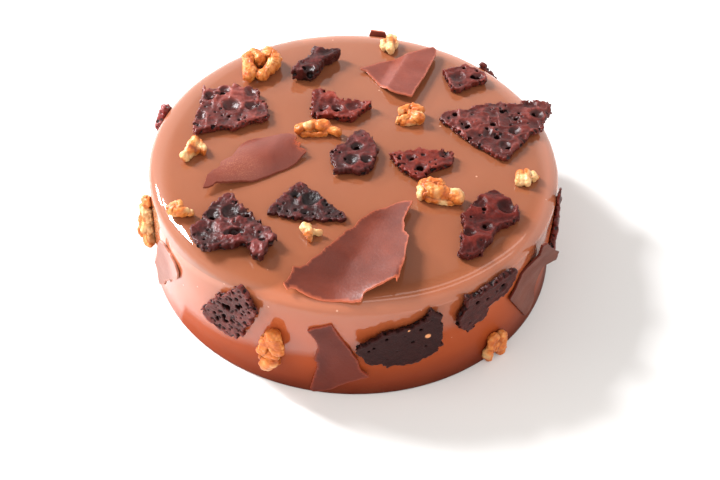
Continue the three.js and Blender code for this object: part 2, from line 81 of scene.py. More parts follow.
AERATED = [
    dict(name="aerated_01", seed=11, thickness=4.4, tone="brown", ridges=0.45, seen=[(204, 85), (207, 89),
        (212, 88), (219, 86), (231, 86), (235, 82), (240, 84), (243, 87), (248, 85), (254, 86), (258, 90),
        (260, 95), (259, 100), (264, 101), (268, 106), (269, 112), (268, 115), (262, 118), (255, 119),
        (248, 120), (242, 122), (235, 126), (222, 125), (210, 127), (199, 129), (196, 131), (193, 126),
        (193, 120), (196, 117), (196, 110), (200, 104), (200, 97), (202, 92)],
        craters=[(231, 104, 4.4, 1.7), (210, 95, 3, 1.5), (218, 94, 2, 1.2), (225, 90, 2.8, 1.4),
        (201, 115, 3, 1.4), (251, 105, 3, 1.5), (251, 91, 3.8, 1)],
        holes=[(211, 97, 1.5), (223, 93, 1.5), (251, 107, 1.1), (239, 119, 0.9), (229, 115, 0.8),
        (222, 114, 0.6), (213, 125, 1.1), (215, 111, 0.6), (245, 117, 0.6)],
        lumps=[(235, 85, 2, 1), (217, 96, 1.6, 0.7)]),
    dict(name="aerated_02", seed=12, thickness=7.6, tone="wine", face="smooth", seen=[(313, 42), (317, 44),
        (320, 46), (328, 47), (340, 46), (341, 49), (334, 53), (325, 57), (321, 62), (319, 68), (313, 71),
        (306, 71), (298, 70), (292, 70), (293, 66), (298, 62), (302, 59), (306, 56), (310, 52), (312, 47)],
        craters=[(309, 69, 3.2, 2), (326, 51, 4, 0.9)],
        holes=[(310, 70, 1.6), (304, 67, 1.1)],
        lumps=[(296, 70, 3.2, 0.4), (314, 60, 4, 0.8)]),
    dict(name="aerated_03", seed=13, thickness=3.8, seen=[(440, 67), (445, 69), (450, 67), (455, 66),
        (465, 64), (471, 66), (478, 68), (484, 72), (488, 77), (487, 79), (479, 81), (471, 83), (465, 86),
        (458, 90), (453, 88), (450, 83), (447, 78), (445, 73)],
        craters=[(478, 77, 3, 1), (458, 76, 4, 0.6)],
        holes=[(464, 68, 0.9), (477, 71, 0.8), (473, 77, 1.6), (478, 77, 1), (460, 84, 0.6)],
        lumps=[(450, 75, 2.6, 0.6)]),
    dict(name="aerated_04", seed=14, thickness=4.2, tone="red", ridges=0.5, seen=[(313, 90), (316, 88),
        (322, 88), (328, 91), (334, 92), (338, 96), (340, 99), (347, 97), (353, 98), (360, 99), (368, 102),
        (371, 101), (370, 105), (364, 108), (360, 112), (356, 115), (350, 117), (342, 116), (336, 115),
        (326, 114), (318, 115), (312, 112), (311, 106), (313, 98)],
        craters=[(323, 107, 3, 1.1), (337, 108, 3, 1.3), (352, 106, 3.4, 0.7)],
        holes=[(325, 91, 1.1), (337, 109, 1.7), (322, 108, 1), (345, 99, 0.9), (353, 99, 0.8),
        (315, 112, 0.8)],
        lumps=[(344, 105, 2, 0.6)]),
    dict(name="aerated_05", seed=15, thickness=4.6, tone="wine", face="smooth", seen=[(360, 128),
        (366, 130), (370, 134), (374, 140), (377, 147), (377, 152), (374, 157), (373, 163), (369, 167),
        (362, 170), (350, 169), (343, 169), (336, 169), (330, 170), (336, 166), (334, 161), (332, 158),
        (329, 153), (334, 149), (337, 145), (344, 141), (349, 137), (352, 132), (356, 129)],
        craters=[(352, 159, 4, 1.8), (366, 159, 3, 1.7), (357, 146, 3, 1.4)],
        holes=[(357, 146, 1.3), (367, 161, 1.4), (345, 158, 0.8), (351, 162, 0.7), (340, 152, 0.6),
        (336, 150, 0.6)],
        lumps=[(357, 157, 2, 0.5)]),
    dict(name="aerated_06", seed=16, thickness=3.8, tone="red", face="crumbly", seen=[(390, 153),
        (396, 151), (402, 151), (407, 150), (413, 149), (418, 148), (425, 149), (434, 150), (445, 149),
        (454, 149), (453, 153), (455, 157), (455, 160), (449, 164), (441, 166), (434, 167), (428, 170),
        (424, 174), (420, 178), (414, 174), (408, 170), (402, 167), (397, 163), (393, 158)],
        craters=[(421, 167, 3, 1.2), (412, 157, 2.4, 0.8), (444, 154, 2.6, 0.7)],
        holes=[(399, 158, 1.1), (412, 158, 1.3), (420, 167, 1.9), (444, 155, 0.9), (436, 164, 0.6),
        (430, 162, 0.5), (405, 163, 0.6), (416, 173, 0.6)],
        lumps=[(403, 155, 2, 0.5)]),
    dict(name="aerated_07", seed=17, thickness=4.8, tone="maroon", face="smooth", seen=[(494, 187),
        (500, 190), (505, 195), (510, 198), (515, 203), (519, 209), (520, 215), (515, 219), (508, 222),
        (502, 224), (498, 227), (495, 232), (492, 238), (488, 243), (484, 248), (478, 252), (470, 254),
        (462, 254), (458, 250), (461, 245), (462, 240), (461, 233), (463, 226), (463, 218), (462, 213),
        (468, 209), (471, 203), (477, 198), (483, 193), (488, 190)],
        craters=[(507, 206, 4.6, 1.7), (469, 232, 3.2, 1.6), (479, 202, 4, 1.4), (487, 226, 3, 1),
        (485, 243, 4, 0.9)],
        holes=[(484, 209, 1.1), (485, 225, 1.1), (471, 216, 0.6)],
        lumps=[(516, 208, 2, 0.8), (490, 207, 2, 0.7)]),
    dict(name="aerated_08", seed=18, thickness=2.4, tone="dark", face="gritty", seen=[(267, 212),
        (270, 207), (274, 203), (278, 198), (283, 194), (288, 190), (292, 186), (296, 183), (301, 182),
        (306, 184), (309, 187), (315, 189), (319, 191), (321, 195), (326, 198), (331, 202), (336, 206),
        (341, 210), (346, 215), (349, 219), (343, 220), (330, 219), (318, 219), (305, 218), (292, 217),
        (282, 215), (276, 212), (270, 214)],
        craters=[(311, 198, 4.6, 1.5), (326, 203, 2.4, 0.8), (304, 211, 2, 0.8), (295, 194, 2.4, 0.8)],
        holes=[(295, 194, 0.8), (327, 203, 0.6), (305, 212, 0.7), (329, 212, 0.7), (341, 213, 0.7),
        (313, 213, 0.6), (287, 210, 0.6)],
        lumps=[(275, 205, 2.4, 0.6), (300, 200, 2.2, 0.9), (306, 207, 2, 0.7), (320, 205, 2, 0.6)]),
    dict(name="aerated_09", seed=19, thickness=5.4, tone="wine", face="coarse", undercut=0.6,
        seen=[(190, 228), (195, 223), (199, 219), (202, 215), (204, 210), (209, 205), (214, 201),
        (219, 197), (224, 194), (228, 192), (233, 193), (234, 198), (237, 201), (242, 204), (246, 208),
        (250, 211), (254, 214), (257, 218), (261, 221), (262, 226), (266, 228), (269, 226), (272, 229),
        (275, 233), (276, 237), (273, 240), (269, 242), (267, 246), (264, 250), (262, 254), (258, 256),
        (254, 253), (251, 249), (250, 244), (245, 241), (238, 241), (230, 243), (222, 243), (210, 246),
        (202, 247), (198, 243), (195, 238), (192, 233)],
        craters=[(213, 214, 3.6, 1.5), (232, 211, 5, 1.7), (244, 213, 3, 1.2), (228, 233, 2.2, 1.5),
        (234, 232, 2.8, 2.2), (240, 231, 2, 1.5), (262, 240, 1.8, 1.2)],
        holes=[(212, 216, 1.3), (231, 233, 1.1), (236, 233, 1.4), (247, 215, 1.2), (204, 238, 0.7)],
        lumps=[(260, 246, 4, 1.5), (270, 236, 3, 1.2), (241, 208, 1.8, 0.9), (220, 226, 3, 0.8),
        (232, 225, 2.4, 0.7)]),
    dict(name="aerated_10", seed=20, thickness=3.4, face="crumbly", ridges=0.75, seen=[(438, 117),
        (442, 112), (449, 110), (456, 110), (463, 109), (470, 107), (480, 104), (490, 102), (500, 101),
        (507, 103), (515, 103), (524, 101), (540, 100), (547, 101), (553, 102), (552, 108), (550, 114),
        (547, 118), (543, 121), (545, 126), (541, 128), (535, 130), (530, 134), (526, 139), (522, 143),
        (518, 147), (513, 150), (512, 155), (508, 157), (500, 156), (494, 153), (487, 149), (480, 146),
        (474, 143), (468, 139), (461, 133), (454, 128), (448, 123), (442, 119)],
        craters=[(464, 125, 3.6, 0.9), (515, 130, 3.2, 1.3), (537, 114, 3.6, 1.5), (530, 104, 3.4, 0.7),
        (489, 133, 3.4, 0.8), (505, 144, 3.4, 0.9), (492, 112, 4, 0.6)],
        holes=[(455, 114, 1.3), (468, 126, 1.5), (487, 128, 0.9), (493, 124, 1.5), (497, 136, 1.5),
        (509, 147, 1.5), (502, 111, 1.4), (506, 110, 0.9), (519, 113, 0.9), (516, 118, 1.1),
        (511, 124, 0.8), (470, 137, 1.1), (480, 144, 0.9), (515, 132, 1.3), (462, 123, 0.8),
        (534, 113, 1)],
        lumps=[(530, 108, 2.6, 0.5), (479, 122, 3, 0.4)]),
    dict(name="aerated_11", seed=21, azimuth=-121, thickness=3, face="porous", seen=[(200, 312),
        (203, 308), (208, 303), (212, 300), (216, 296), (221, 295), (226, 294), (232, 290), (237, 287),
        (241, 289), (244, 294), (248, 301), (252, 307), (256, 314), (251, 322), (247, 327), (244, 331),
        (242, 337), (238, 340), (232, 338), (226, 334), (220, 330), (213, 324), (207, 319), (203, 315)],
        holes=[(224, 307, 1.8), (227, 309, 1.4), (237, 308, 1.5), (240, 307, 1), (230, 300, 1),
        (236, 300, 1), (247, 305, 1.2), (223, 317, 1.3), (225, 321, 1.3), (217, 319, 1.1), (220, 325, 0.8),
        (231, 321, 0.7), (242, 315, 0.8), (214, 313, 0.9), (219, 303, 0.8), (233, 293, 1.1),
        (240, 297, 0.8), (239, 336, 1.2), (249, 313, 0.8)]),
    dict(name="aerated_12", seed=22, azimuth=-74, thickness=3, tone="ink", face="calm", seen=[(356, 350),
        (362, 347), (370, 343), (378, 339), (386, 335), (394, 332), (403, 330), (412, 328), (419, 325),
        (425, 321), (430, 315), (433, 312), (438, 314), (441, 317), (442, 323), (444, 328), (443, 337),
        (442, 346), (437, 352), (430, 356), (420, 361), (411, 364), (404, 366), (396, 366), (388, 368),
        (380, 366), (370, 365), (362, 360), (358, 355)],
        holes=[(369, 352, 0.7), (374, 349, 0.7), (387, 340, 0.8), (421, 330, 0.8), (426, 346, 0.6)],
        lumps=[(428, 336, 1.0, 0.9)], specks=[(428, 336, 1.3), (409, 331, 0.6)]),
    # aerated_13 takes the umber tone, a darker copy as painted shade
    dict(name="aerated_13", seed=23, azimuth=-52, thickness=3.2, tone="umber", face="calm",
        seen=[(516, 270), (518, 274), (514, 284), (508, 293), (502, 297), (498, 301), (492, 304),
        (489, 308), (487, 316), (484, 320), (478, 323), (473, 328), (469, 331), (463, 330), (459, 326),
        (460, 320), (464, 312), (467, 304), (468, 298), (475, 297), (482, 294), (489, 288), (496, 284),
        (502, 279), (508, 275)],
        craters=[(503, 287, 2.4, 0.8)],
        holes=[(504, 286, 1), (478, 303, 1.1), (488, 299, 0.8), (497, 291, 0.5)]),
    dict(name="aerated_14", seed=24, azimuth=-11, thickness=2.8, taper=(90, 1.6, 0.45),
        corners=[[-7, 22], [3, 21], [9, 28], [8.5, 36], [6, 46], [2.5, 56], [0.5, 63], [-1.5, 63],
        [-3.5, 55], [-6.5, 46], [-9, 34]]),
    dict(name="aerated_15", seed=25, azimuth=163, thickness=4.2, tone="glossy", face="smooth",
        corners=[[-9, 52], [-6, 48.5], [-2, 45.5], [2, 43.5], [5, 44.5], [6, 49], [5, 53.5], [2, 56],
        [-3, 57.5], [-7, 55.5]]),
    dict(name="aerated_16", seed=26, azimuth=48, thickness=2.4,
        corners=[[-6, 50], [-3, 44], [3, 42], [6, 47], [6.5, 54], [4.5, 59], [2.5, 58], [0.5, 55.5],
        [-3, 54.5], [-5.5, 53]]),
]

# How a shard bends: curls are (way in degrees, height mm, share of the way where it starts, share
# where it ends), arch is (way in degrees, height mm), and draped follows the cake's rounded rim.
# bloom and frayed are patches (x, y, radius mm) of a grainy bloom and of a frayed rim.

SHARDS = [
    dict(name="shard_01", seed=31, curls=[(-20, 3.4, 0.42, 0.6), (170, 1.6, 0.6, 1)], seen=[(360, 67),
        (369, 65), (378, 62), (388, 60), (400, 56), (410, 52), (424, 48), (433, 46), (437, 49), (436, 54),
        (431, 64), (426, 73), (420, 82), (416, 88), (412, 95), (405, 93), (399, 92), (390, 89), (383, 86),
        (377, 81), (371, 75), (366, 70)]),
    dict(name="shard_02", seed=32, arch=(125, 4), tone="dusky", bloom=(237, 170, 12),
        frayed=(304, 147, 4.5), seen=[(203, 186), (205, 180), (207, 174), (212, 170), (219, 166),
        (221, 161), (226, 158), (232, 155), (236, 150), (241, 144), (247, 140), (254, 138), (262, 137),
        (272, 135), (282, 133), (292, 133), (297, 136), (295, 140), (301, 142), (299, 146), (306, 148),
        (306, 151), (301, 156), (297, 161), (290, 166), (283, 169), (275, 172), (268, 175), (260, 178),
        (252, 180), (240, 180), (228, 181), (216, 181), (213, 184), (207, 186)]),
    dict(name="shard_03", seed=33, tone="warm", curls=[(-19, 8, 0.5, 1), (152, 4.5, 0.5, 1)], draped=True,
        seen=[(413, 200), (405, 200), (397, 202), (390, 205), (380, 208), (371, 211), (365, 215),
        (359, 219), (354, 226), (346, 229), (341, 234), (333, 241), (326, 246), (320, 252), (312, 257),
        (306, 263), (299, 266), (293, 265), (291, 272), (287, 279), (283, 282), (286, 286), (287, 288),
        (291, 286), (296, 287), (300, 290), (305, 293), (313, 297), (322, 299), (342, 300), (352, 301),
        (361, 300), (363, 297), (364, 292), (367, 289), (374, 286), (382, 282), (390, 278), (396, 275),
        (397, 280), (399, 276), (401, 268), (404, 260), (406, 250), (408, 240), (409, 235), (407, 232),
        (404, 230), (405, 225), (404, 219), (407, 211), (410, 206)]),
    # shard_04 and shard_05 take darker tones, painted shade, and shard_06 a paler tone, painted light
    dict(name="shard_04", seed=34, azimuth=-93.5, tone="deep", seen=[(307, 332), (312, 330), (320, 329),
        (331, 326), (336, 333), (342, 341), (350, 351), (357, 361), (359, 367), (361, 372), (369, 378),
        (360, 380), (350, 383), (340, 386), (332, 390), (318, 392), (312, 392), (310, 389), (311, 385),
        (314, 377), (317, 369), (317, 364), (314, 361), (316, 355), (318, 350), (317, 346), (315, 341),
        (311, 336)]),
    dict(name="shard_05", seed=35, azimuth=-33, tone="olive", curls=[(40, 6, 0.5, 1)], seen=[(544, 246),
        (549, 244), (552, 248), (560, 252), (557, 260), (553, 262), (544, 267), (539, 277), (535, 290),
        (535, 301), (530, 311), (526, 316), (520, 310), (511, 300), (517, 290), (523, 275), (534, 263),
        (541, 256)]),
    dict(name="shard_06", seed=36, azimuth=-149, tone="pale", curls=[(180, 2.6, 0.4, 1)],
        corners=[[-8.5, 10], [-4.7, 13], [-3, 17], [3, 23.5], [10.8, 31.2], [12, 37], [9.8, 39.5],
        [5.8, 41], [1.4, 42.2], [-2, 43.5], [-5.5, 43.5], [-7.5, 37], [-8.5, 31], [-10.5, 25], [-9, 20],
        [-9, 13.5]]),
    dict(name="shard_07", seed=37, azimuth=84.5,
        corners=[[-6, 43], [5, 41], [6.5, 50], [4.2, 59.5], [-3.6, 59.2], [-6, 52]]),
]

# Each lobe of a kernel runs between two points seen in the photograph: (x, y, x, y, radius mm,
# height mm of its middle line above the glaze). A kernel with on_wall is seen edge on, so its
# points are (along, up) mm on the wall. cream is the share of broken pale flesh.

WALNUTS = [
    dict(name="walnut_01", cream=0.1, lobes=[(248, 58, 250, 75, 3.6, 4), (254, 54, 259, 58, 3.5, 5),
        (267, 53, 271, 56, 3.7, 5), (276, 60, 270, 67, 3.4, 5), (267, 69, 262, 76, 2.9, 3.6),
        (252, 72, 262, 73, 2, 1.6)]),
    dict(name="walnut_02", cream=0.7, lobes=[(384, 42, 384, 46, 2.4, 3), (390, 38, 391, 49, 2.6, 3.4),
        (395, 38, 395, 44, 1.7, 3.6)]),
    dict(name="walnut_03", cream=0.25, lobes=[(402, 111, 409, 107, 2.4, 4.4),
        (413, 107, 420, 110, 2.6, 4.4), (398, 119, 407, 118, 1.9, 3.4), (403, 122, 414, 121, 2, 2.4),
        (412, 114, 419, 117, 3, 4.2)]),
    dict(name="walnut_04", cream=0.2, lobes=[(299, 129, 309, 125, 2.6, 3.4), (308, 127, 314, 124, 2.7, 4),
        (320, 125, 326, 125, 2.9, 4.2), (328, 128, 338, 131, 2.5, 3), (303, 134, 326, 133, 1.5, 1.7)]),
    dict(name="walnut_05", cream=0.4, lobes=[(186, 155, 190, 150, 3, 3.4), (191, 147, 195, 142, 3, 4),
        (193, 150, 200, 147, 2.4, 3), (200, 143, 203, 149, 2.1, 3.2)]),
    dict(name="walnut_06", cream=0.5, lobes=[(521, 174, 520, 180, 2.6, 2.6), (526, 173, 527, 181, 2.4, 3),
        (532, 174, 534, 178, 2, 2.4), (537, 176, 538, 177, 1, 1.8)]),
    dict(name="walnut_07", cream=0.3, lobes=[(424, 184, 422, 193, 3.3, 4), (431, 182, 440, 183, 2.9, 5.2),
        (430, 190, 438, 192, 3.8, 5), (440, 193, 457, 197, 3.7, 4), (430, 198, 450, 202, 2.3, 2.2),
        (443, 188, 447, 191, 2.2, 4.4)]),
    dict(name="walnut_08", cream=0.5, lobes=[(306, 228, 309, 234, 2.9, 2.4),
        (309, 234, 310, 238, 1.9, 1.6), (314, 231, 320, 232, 1.5, 2.4)]),
    dict(name="walnut_09", cream=0.35, lobes=[(173, 210, 183, 211, 3, 3.2), (169, 208, 176, 204, 1.8, 3.6),
        (179, 203, 181, 206, 1.7, 5), (188, 212, 190, 213, 2.2, 2.2)]),
    dict(name="walnut_10", azimuth=-109.3, cream=0.15, lobes=[(265, 340, 263, 350, 3.2, 3),
        (272, 336, 276, 348, 4, 3.4), (268, 353, 274, 354, 3.2, 3), (267, 363, 273, 362, 3.6, 3),
        (262, 357, 263, 358, 2, 2)]),
    dict(name="walnut_11", azimuth=-45.5, cream=0.15, lobes=[(502, 335, 500, 349, 3, 2.8),
        (494, 338, 491, 346, 2.7, 2.2), (488, 352, 488, 358, 2.5, 2.4), (498, 341, 495, 347, 2.4, 2.2)]),
    dict(name="walnut_12", azimuth=-168, on_wall=True, cream=0.45, lobes=[(-1, 43, 1, 42, 2.8, 2.4),
        (-2, 37, 0, 36, 3.2, 3), (-3, 30, -1, 29, 3.4, 4), (-1, 24, 0, 22, 3.2, 4.8),
        (-3, 17, -1, 15, 3.4, 3), (3, 38, 5, 35, 2.8, 2.4), (3, 30, 4, 28, 3.2, 3.2),
        (4, 23, 5, 20, 3, 2.6), (-6, 35, -5, 33, 2.6, 2), (-6, 26, -5, 23, 2.9, 2.6)]),
]

# ---------------- numbers

VOXEL = 0.42  # mm, grid of the fields that are meshed
WALNUT_VOXEL = 0.33
LATTICE_SIDE = 32
LATTICE = np.random.default_rng(7).random((LATTICE_SIDE,) * 3)


def unit(values):
    """Values held between 0 and 1."""
    return np.clip(values, 0, 1)


def noise(x, y, z, scale, shift):
    """Smooth noise from 0 to 1 whose blobs are about scale across; the arrays broadcast.

    Calls with another shift give another noise.
    """
    result = 0.0
    cells = []
    for values in (x, y, z):
        at = np.asarray(values) / scale + shift
        low = np.floor(at)
        part = at - low
        cells.append((low.astype(int), part * part * (3 - 2 * part)))
    (ix, fx), (iy, fy), (iz, fz) = cells
    for i, wx in ((0, 1 - fx), (1, fx)):
        for j, wy in ((0, 1 - fy), (1, fy)):
            for k, wz in ((0, 1 - fz), (1, fz)):
                corner = (ix + i) % LATTICE_SIDE, (iy + j) % LATTICE_SIDE, (iz + k) % LATTICE_SIDE
                result = result + LATTICE[corner] * wx * wy * wz
    return result


def sway(x, y, z, scale, shift):
    """The same noise from -0.5 to 0.5."""
    return noise(x, y, z, scale, shift) - 0.5


def waves(x, y, z, layers, shift=0):
    """Layers of sway together: each is its mm across, the shift of its noise and its play."""
    return sum(sway(x, y, z, size, shift + more) * play for size, more, play in layers)


def folds(x, y, z, scale, shift, width):
    """Winding lines about scale apart: 1 along a line, falling to 0 beside it."""
    return unit(1 - np.abs(sway(x, y, z, scale, shift)) * 2 / width)


def bell(values, middle, width):
    return np.exp(-(((values - middle) / width) ** 2))


def near(away, reach, steepness):
    """1 close by, falling to 0 at a reach."""
    return unit((reach - away) * steepness)


def smooth_max(a, b, k):
    h = unit(0.5 + 0.5 * (a - b) / k)
    return b + (a - b) * h + k * h * (1 - h)


def smooth_min(a, b, k):
    return -smooth_max(-a, -b, k)


def surface_net(field, grid):
    """Vertices and quads of the surface where field is 0; the field is negative inside."""
    inside = field < 0
    shape = tuple(n - 1 for n in field.shape)
    total = np.zeros(shape + (3,))
    count = np.zeros(shape)
    for axis in range(3):
        others = [o for o in range(3) if o != axis]
        for a, b in ((0, 0), (0, 1), (1, 0), (1, 1)):
            offset = [0, 0, 0]
            offset[others[0]] = a
            offset[others[1]] = b
            start = tuple(slice(o, o + n) for o, n in zip(offset, shape))
            offset[axis] = 1
            end = tuple(slice(o, o + n) for o, n in zip(offset, shape))
            crossed = inside[start] != inside[end]
            change = np.where(crossed, field[start] - field[end], 1)
            total[..., axis] += np.where(crossed, field[start] / change, 0)
            total[..., others[0]] += crossed * a
            total[..., others[1]] += crossed * b
            count += crossed
    active = count > 0
    index = np.full(shape, -1)
    index[active] = np.arange(active.sum())
    step = grid[0][1] - grid[0][0]
    origin = [values[0] for values in grid]
    vertices = (np.argwhere(active) + total[active] / count[active][:, None]) * step + origin
    quads = []
    for axis, (u, v) in enumerate([(1, 2), (2, 0), (0, 1)]):
        start = [slice(1, n) for n in shape]
        start[axis] = slice(0, shape[axis])
        end = list(start)
        end[axis] = slice(1, shape[axis] + 1)
        filled = inside[tuple(start)]
        where = np.argwhere(filled != inside[tuple(end)])
        ring = []
        for du, dv in ((1, 1), (0, 1), (0, 0), (1, 0)):
            cell = where.copy()
            cell[:, u] += du
            cell[:, v] += dv
            ring.append(index[tuple(cell.T)])
        ring = np.stack(ring, 1)
        flip = ~filled[tuple(where.T)]
        ring[flip] = ring[flip][:, ::-1]
        quads.append(ring)
    return vertices, np.concatenate(quads)


def largest_shell(vertices, faces):
    """Drops scraps and closed pores: keeps the shell with the most faces."""
    label = np.arange(len(vertices))
    while True:
        lowest = label[faces].min(1)
        new = label.copy()
        np.minimum.at(new, faces.ravel(), np.repeat(lowest, faces.shape[1]))
        new = new[new]
        if (new == label).all():
            break
        label = new
    of_face = label[faces[:, 0]]
    names, counts = np.unique(of_face, return_counts=True)
    kept = faces[of_face == names[counts.argmax()]]
    used = np.unique(kept)
    renumber = np.zeros(len(vertices), int)
    renumber[used] = np.arange(len(used))
    return vertices[used], renumber[kept]


# ---------------- places

SIGHT_ROUNDS = 8  # in which an outline settles on a bent face
CURL_POWER = 1.5  # how gently a bend sets in


def camera_axes():
    """The camera's right, up and forward directions."""
    pitch, roll = math.radians(CAMERA_DOWN), math.radians(CAMERA_ROLL)
    ahead = Vector((0, math.cos(pitch), -math.sin(pitch)))
    level = Vector((1, 0, 0))
    above = level.cross(ahead)
    right = math.cos(roll) * level + math.sin(roll) * above
    up = -math.sin(roll) * level + math.cos(roll) * above
    return right, up, ahead


def placement(piece):
    """Matrix from a piece's own frame, z out of the glaze, to the cake's, in mm."""
    if "azimuth" not in piece:
        return Matrix.Translation((0, 0, CAKE_HEIGHT))
    angle = math.radians(piece["azimuth"])
    along = Vector((-math.sin(angle), math.cos(angle), 0))
    outward = Vector((math.cos(angle), math.sin(angle), 0))
    matrix = Matrix((along, (0, 0, 1), outward)).transposed().to_4x4()
    matrix.translation = outward * CAKE_RADIUS
    return matrix


def seen_at(piece, pixels, height):
    """Where lines of sight through pixels meet the plane at a height over the glaze, x and y."""
    right, up, ahead = camera_axes()
    into = placement(piece).inverted()
    eye = np.array(into @ Vector(CAMERA_AT))
    turn = np.array(into.to_3x3())
    focal = PHOTO_WIDTH * LENS / SENSOR
    across, down = np.asarray(pixels, float).reshape(-1, 2).T
    sight = (np.array(ahead)
             + np.outer((across - PHOTO_WIDTH / 2) / focal, right)
             + np.outer((PHOTO_HEIGHT / 2 - down) / focal, up)) @ turn.T
    reach = (height - eye[2]) / sight[:, 2]
    return eye[:2] + sight[:, :2] * reach[:, None]


def share_across(outline, degrees):
    """How far a point is on the way across an outline, from 0 to 1."""
    angle = math.radians(degrees)
    way = np.array([math.cos(angle), math.sin(angle)])
    reaches = outline @ way
    low, span = reaches.min(), np.ptp(reaches)
    return lambda x, y: unit((x * way[0] + y * way[1] - low) / span)


def lift_of(piece, outline):
    """Height of a piece's underside above the surface it lies on."""
    curls = [(share_across(outline, way), height, start, end)
             for way, height, start, end in piece.get("curls", [])]
    arch_way, arch = piece.get("arch", (0, 0))
    over = share_across(outline, arch_way)

    def lift(x, y):
        total = arch * 4 * over(x, y) * (1 - over(x, y))
        for share, height, start, end in curls:
            total = total + height * unit((share(x, y) - start) / (end - start)) ** CURL_POWER
        return total

    return lift


def outline_of(piece, thickness):
    """A piece's outline in its own frame, anticlockwise, and the lift of its underside."""
    if "corners" in piece:
        outline = np.array(piece["corners"], float)
        return outline, lift_of(piece, outline)
    outline = seen_at(piece, piece["seen"], GAP + thickness)
    lift = lift_of(piece, outline)
    for _ in range(SIGHT_ROUNDS):
        height = lift(*outline.T)
        if piece.get("draped"):
            height = height + glaze_drop(*outline.T)
        outline = seen_at(piece, piece["seen"], GAP + thickness + height)
    ahead = np.roll(outline, -1, 0)
    turned = (outline[:, 0] * ahead[:, 1] - ahead[:, 0] * outline[:, 1]).sum() > 0
    return (outline if turned else outline[::-1]), lift


def glaze_drop(x, y):
    """Height of the glaze's rounded rim below the flat top."""
    share = np.clip((np.hypot(x, y) - (CAKE_RADIUS - RIM_ACROSS)) / RIM_ACROSS, 0, RIM_REACH)
    return RIM_DOWN * (np.sqrt(1 - share**2) - 1)


def over_glaze(piece, x, y, z):
    """Distance of a point in a piece's frame from the glaze."""
    if "azimuth" in piece:
        return np.hypot(z + CAKE_RADIUS, x) - CAKE_RADIUS
    beyond = np.hypot(x, y) - (CAKE_RADIUS - RIM_ACROSS)
    share = np.hypot(np.maximum(beyond, 0) / RIM_ACROSS, np.maximum(z + RIM_DOWN, 0) / RIM_DOWN)
    return np.where(beyond > 0, (share - 1) * RIM_DOWN, z)


def outline_distance(outline, x, y):
    """Signed distance to a closed outline, negative inside, on the grid of x and y."""
    best = np.full(np.broadcast(x, y).shape, np.inf)
    crossings = np.zeros(best.shape, int)
    for (ax, ay), (bx, by) in zip(outline, np.roll(outline, -1, 0)):
        ex, ey = bx - ax, by - ay
        t = unit(((x - ax) * ex + (y - ay) * ey) / (ex * ex + ey * ey))
        best = np.minimum(best, np.hypot(x - ax - t * ex, y - ay - t * ey))
        if ay != by:
            spans = (ay > y) != (by > y)
            crossings += spans & (x < ax + (y - ay) * ex / ey)
    return np.where(crossings % 2 == 1, -best, best)


# ---------------- meshes


def add_object(name, data):
    thing = bpy.data.objects.new(name, data)
    scene.collection.objects.link(thing)
    return thing


def add_mesh(name, vertices, faces, matrix, material, node, slot, crease=None, **attributes):
    """A piece from vertices in mm and faces, that stands for a CAD node."""
    mesh = bpy.data.meshes.new(name)
    placed = np.asarray(vertices) @ np.array(matrix.to_3x3()).T + np.array(matrix.translation)
    mesh.from_pydata((placed * MM).tolist(), [], [list(map(int, f)) for f in faces])
    mesh.update()
    mesh.polygons.foreach_set("use_smooth", [True] * len(mesh.polygons))
    if crease:
        mesh.set_sharp_from_angle(angle=math.radians(crease))
    for key, values in attributes.items():
        layer = mesh.attributes.new(key, "FLOAT", "POINT")
        layer.data.foreach_set("value", np.asarray(values, np.float32))
    mesh.materials.append(material)
    piece = add_object(name, mesh)
    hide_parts(node)
    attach(piece, "root")


# How a kind of aerated piece looks: height of its swells in mm, the share of that height in its
# grains, open pores for each square millimetre of its face, and of its broken sides, and the
# rounding of its edges in mm.

FACES = {
    "plain": (0.85, 0.28, 0.02, 0.24, 0.5),
    "crumbly": (0.7, 0.28, 0.035, 0.42, 0.4),
    "gritty": (0.7, 0.7, 0.03, 0.3, 0.3),
    "coarse": (0.85, 0.6, 0.03, 0.3, 0.25),
    "porous": (0.4, 0.28, 0.16, 0.34, 0.4),
    "smooth": (0.7, 0.28, 0.004, 0.08, 1.3),
    "calm": (0.14, 0.28, 0.004, 0.4, 0.4),
}
SWELLS = ((6.5, 0, 2), (2.8, 0.4, 0.7))  # layers of a face; their play is a share of its swells
GRAIN = (1.1, 0.7)  # the finest layer, whose play is a share that FACES gives
SAG = 0.3  # share of its swells by which a face starts below the piece's thickness
RIDGES = 0.25  # height of the ridges on a face, as a share of its swells
RIDGES_APART = 5.0  # mm
RAG = ((2.4, 0, 1.1), (1.1, 0.2, 1.5))  # layers by which a broken rim wanders
RAG_DEPTH = 1.6  # mm in from its outline that a piece is broken and torn
BOWL_SWAY = (3.0, 1.5)  # mm across, mm of play of a bowl's rim
LUMP_SPREAD = 1.3  # radius of a lump's foot, as a share of the radius that shows
LIP = (0.22, 1.15, 0.35)  # lip round a bowl: share of its depth, then place and width in radii
CRUST = (0.45, -0.9, 0.55)  # crust along a broken rim, mm: height, place and width across the rim
SIDE_GRAIN = (1.4, 1.3)  # mm across, mm of play
CREST_HEIGHT = 1.6  # mm from the hollows of a face, which keep a painted shade, to its crests, which take bloom and painted highlight
ROOF_SLOPE = 0.85  # makes a face as steep in the field as the sides, in the mean
UNDERCUT = 0.4  # share of a piece's thickness by which its broken rim clears the glaze
UNDERCUT_REACH = 2.4  # mm in from the rim
PORE_RADIUS = 0.42  # mm, the smallest
PORE_EDGE = 0.2  # mm, rounding
MARGIN = 1.5  # mm that the grid reaches beyond an outline
MARGIN_ABOVE = 1.6
GRID_FLOOR = -0.6  # mm over the glaze, where the grid starts


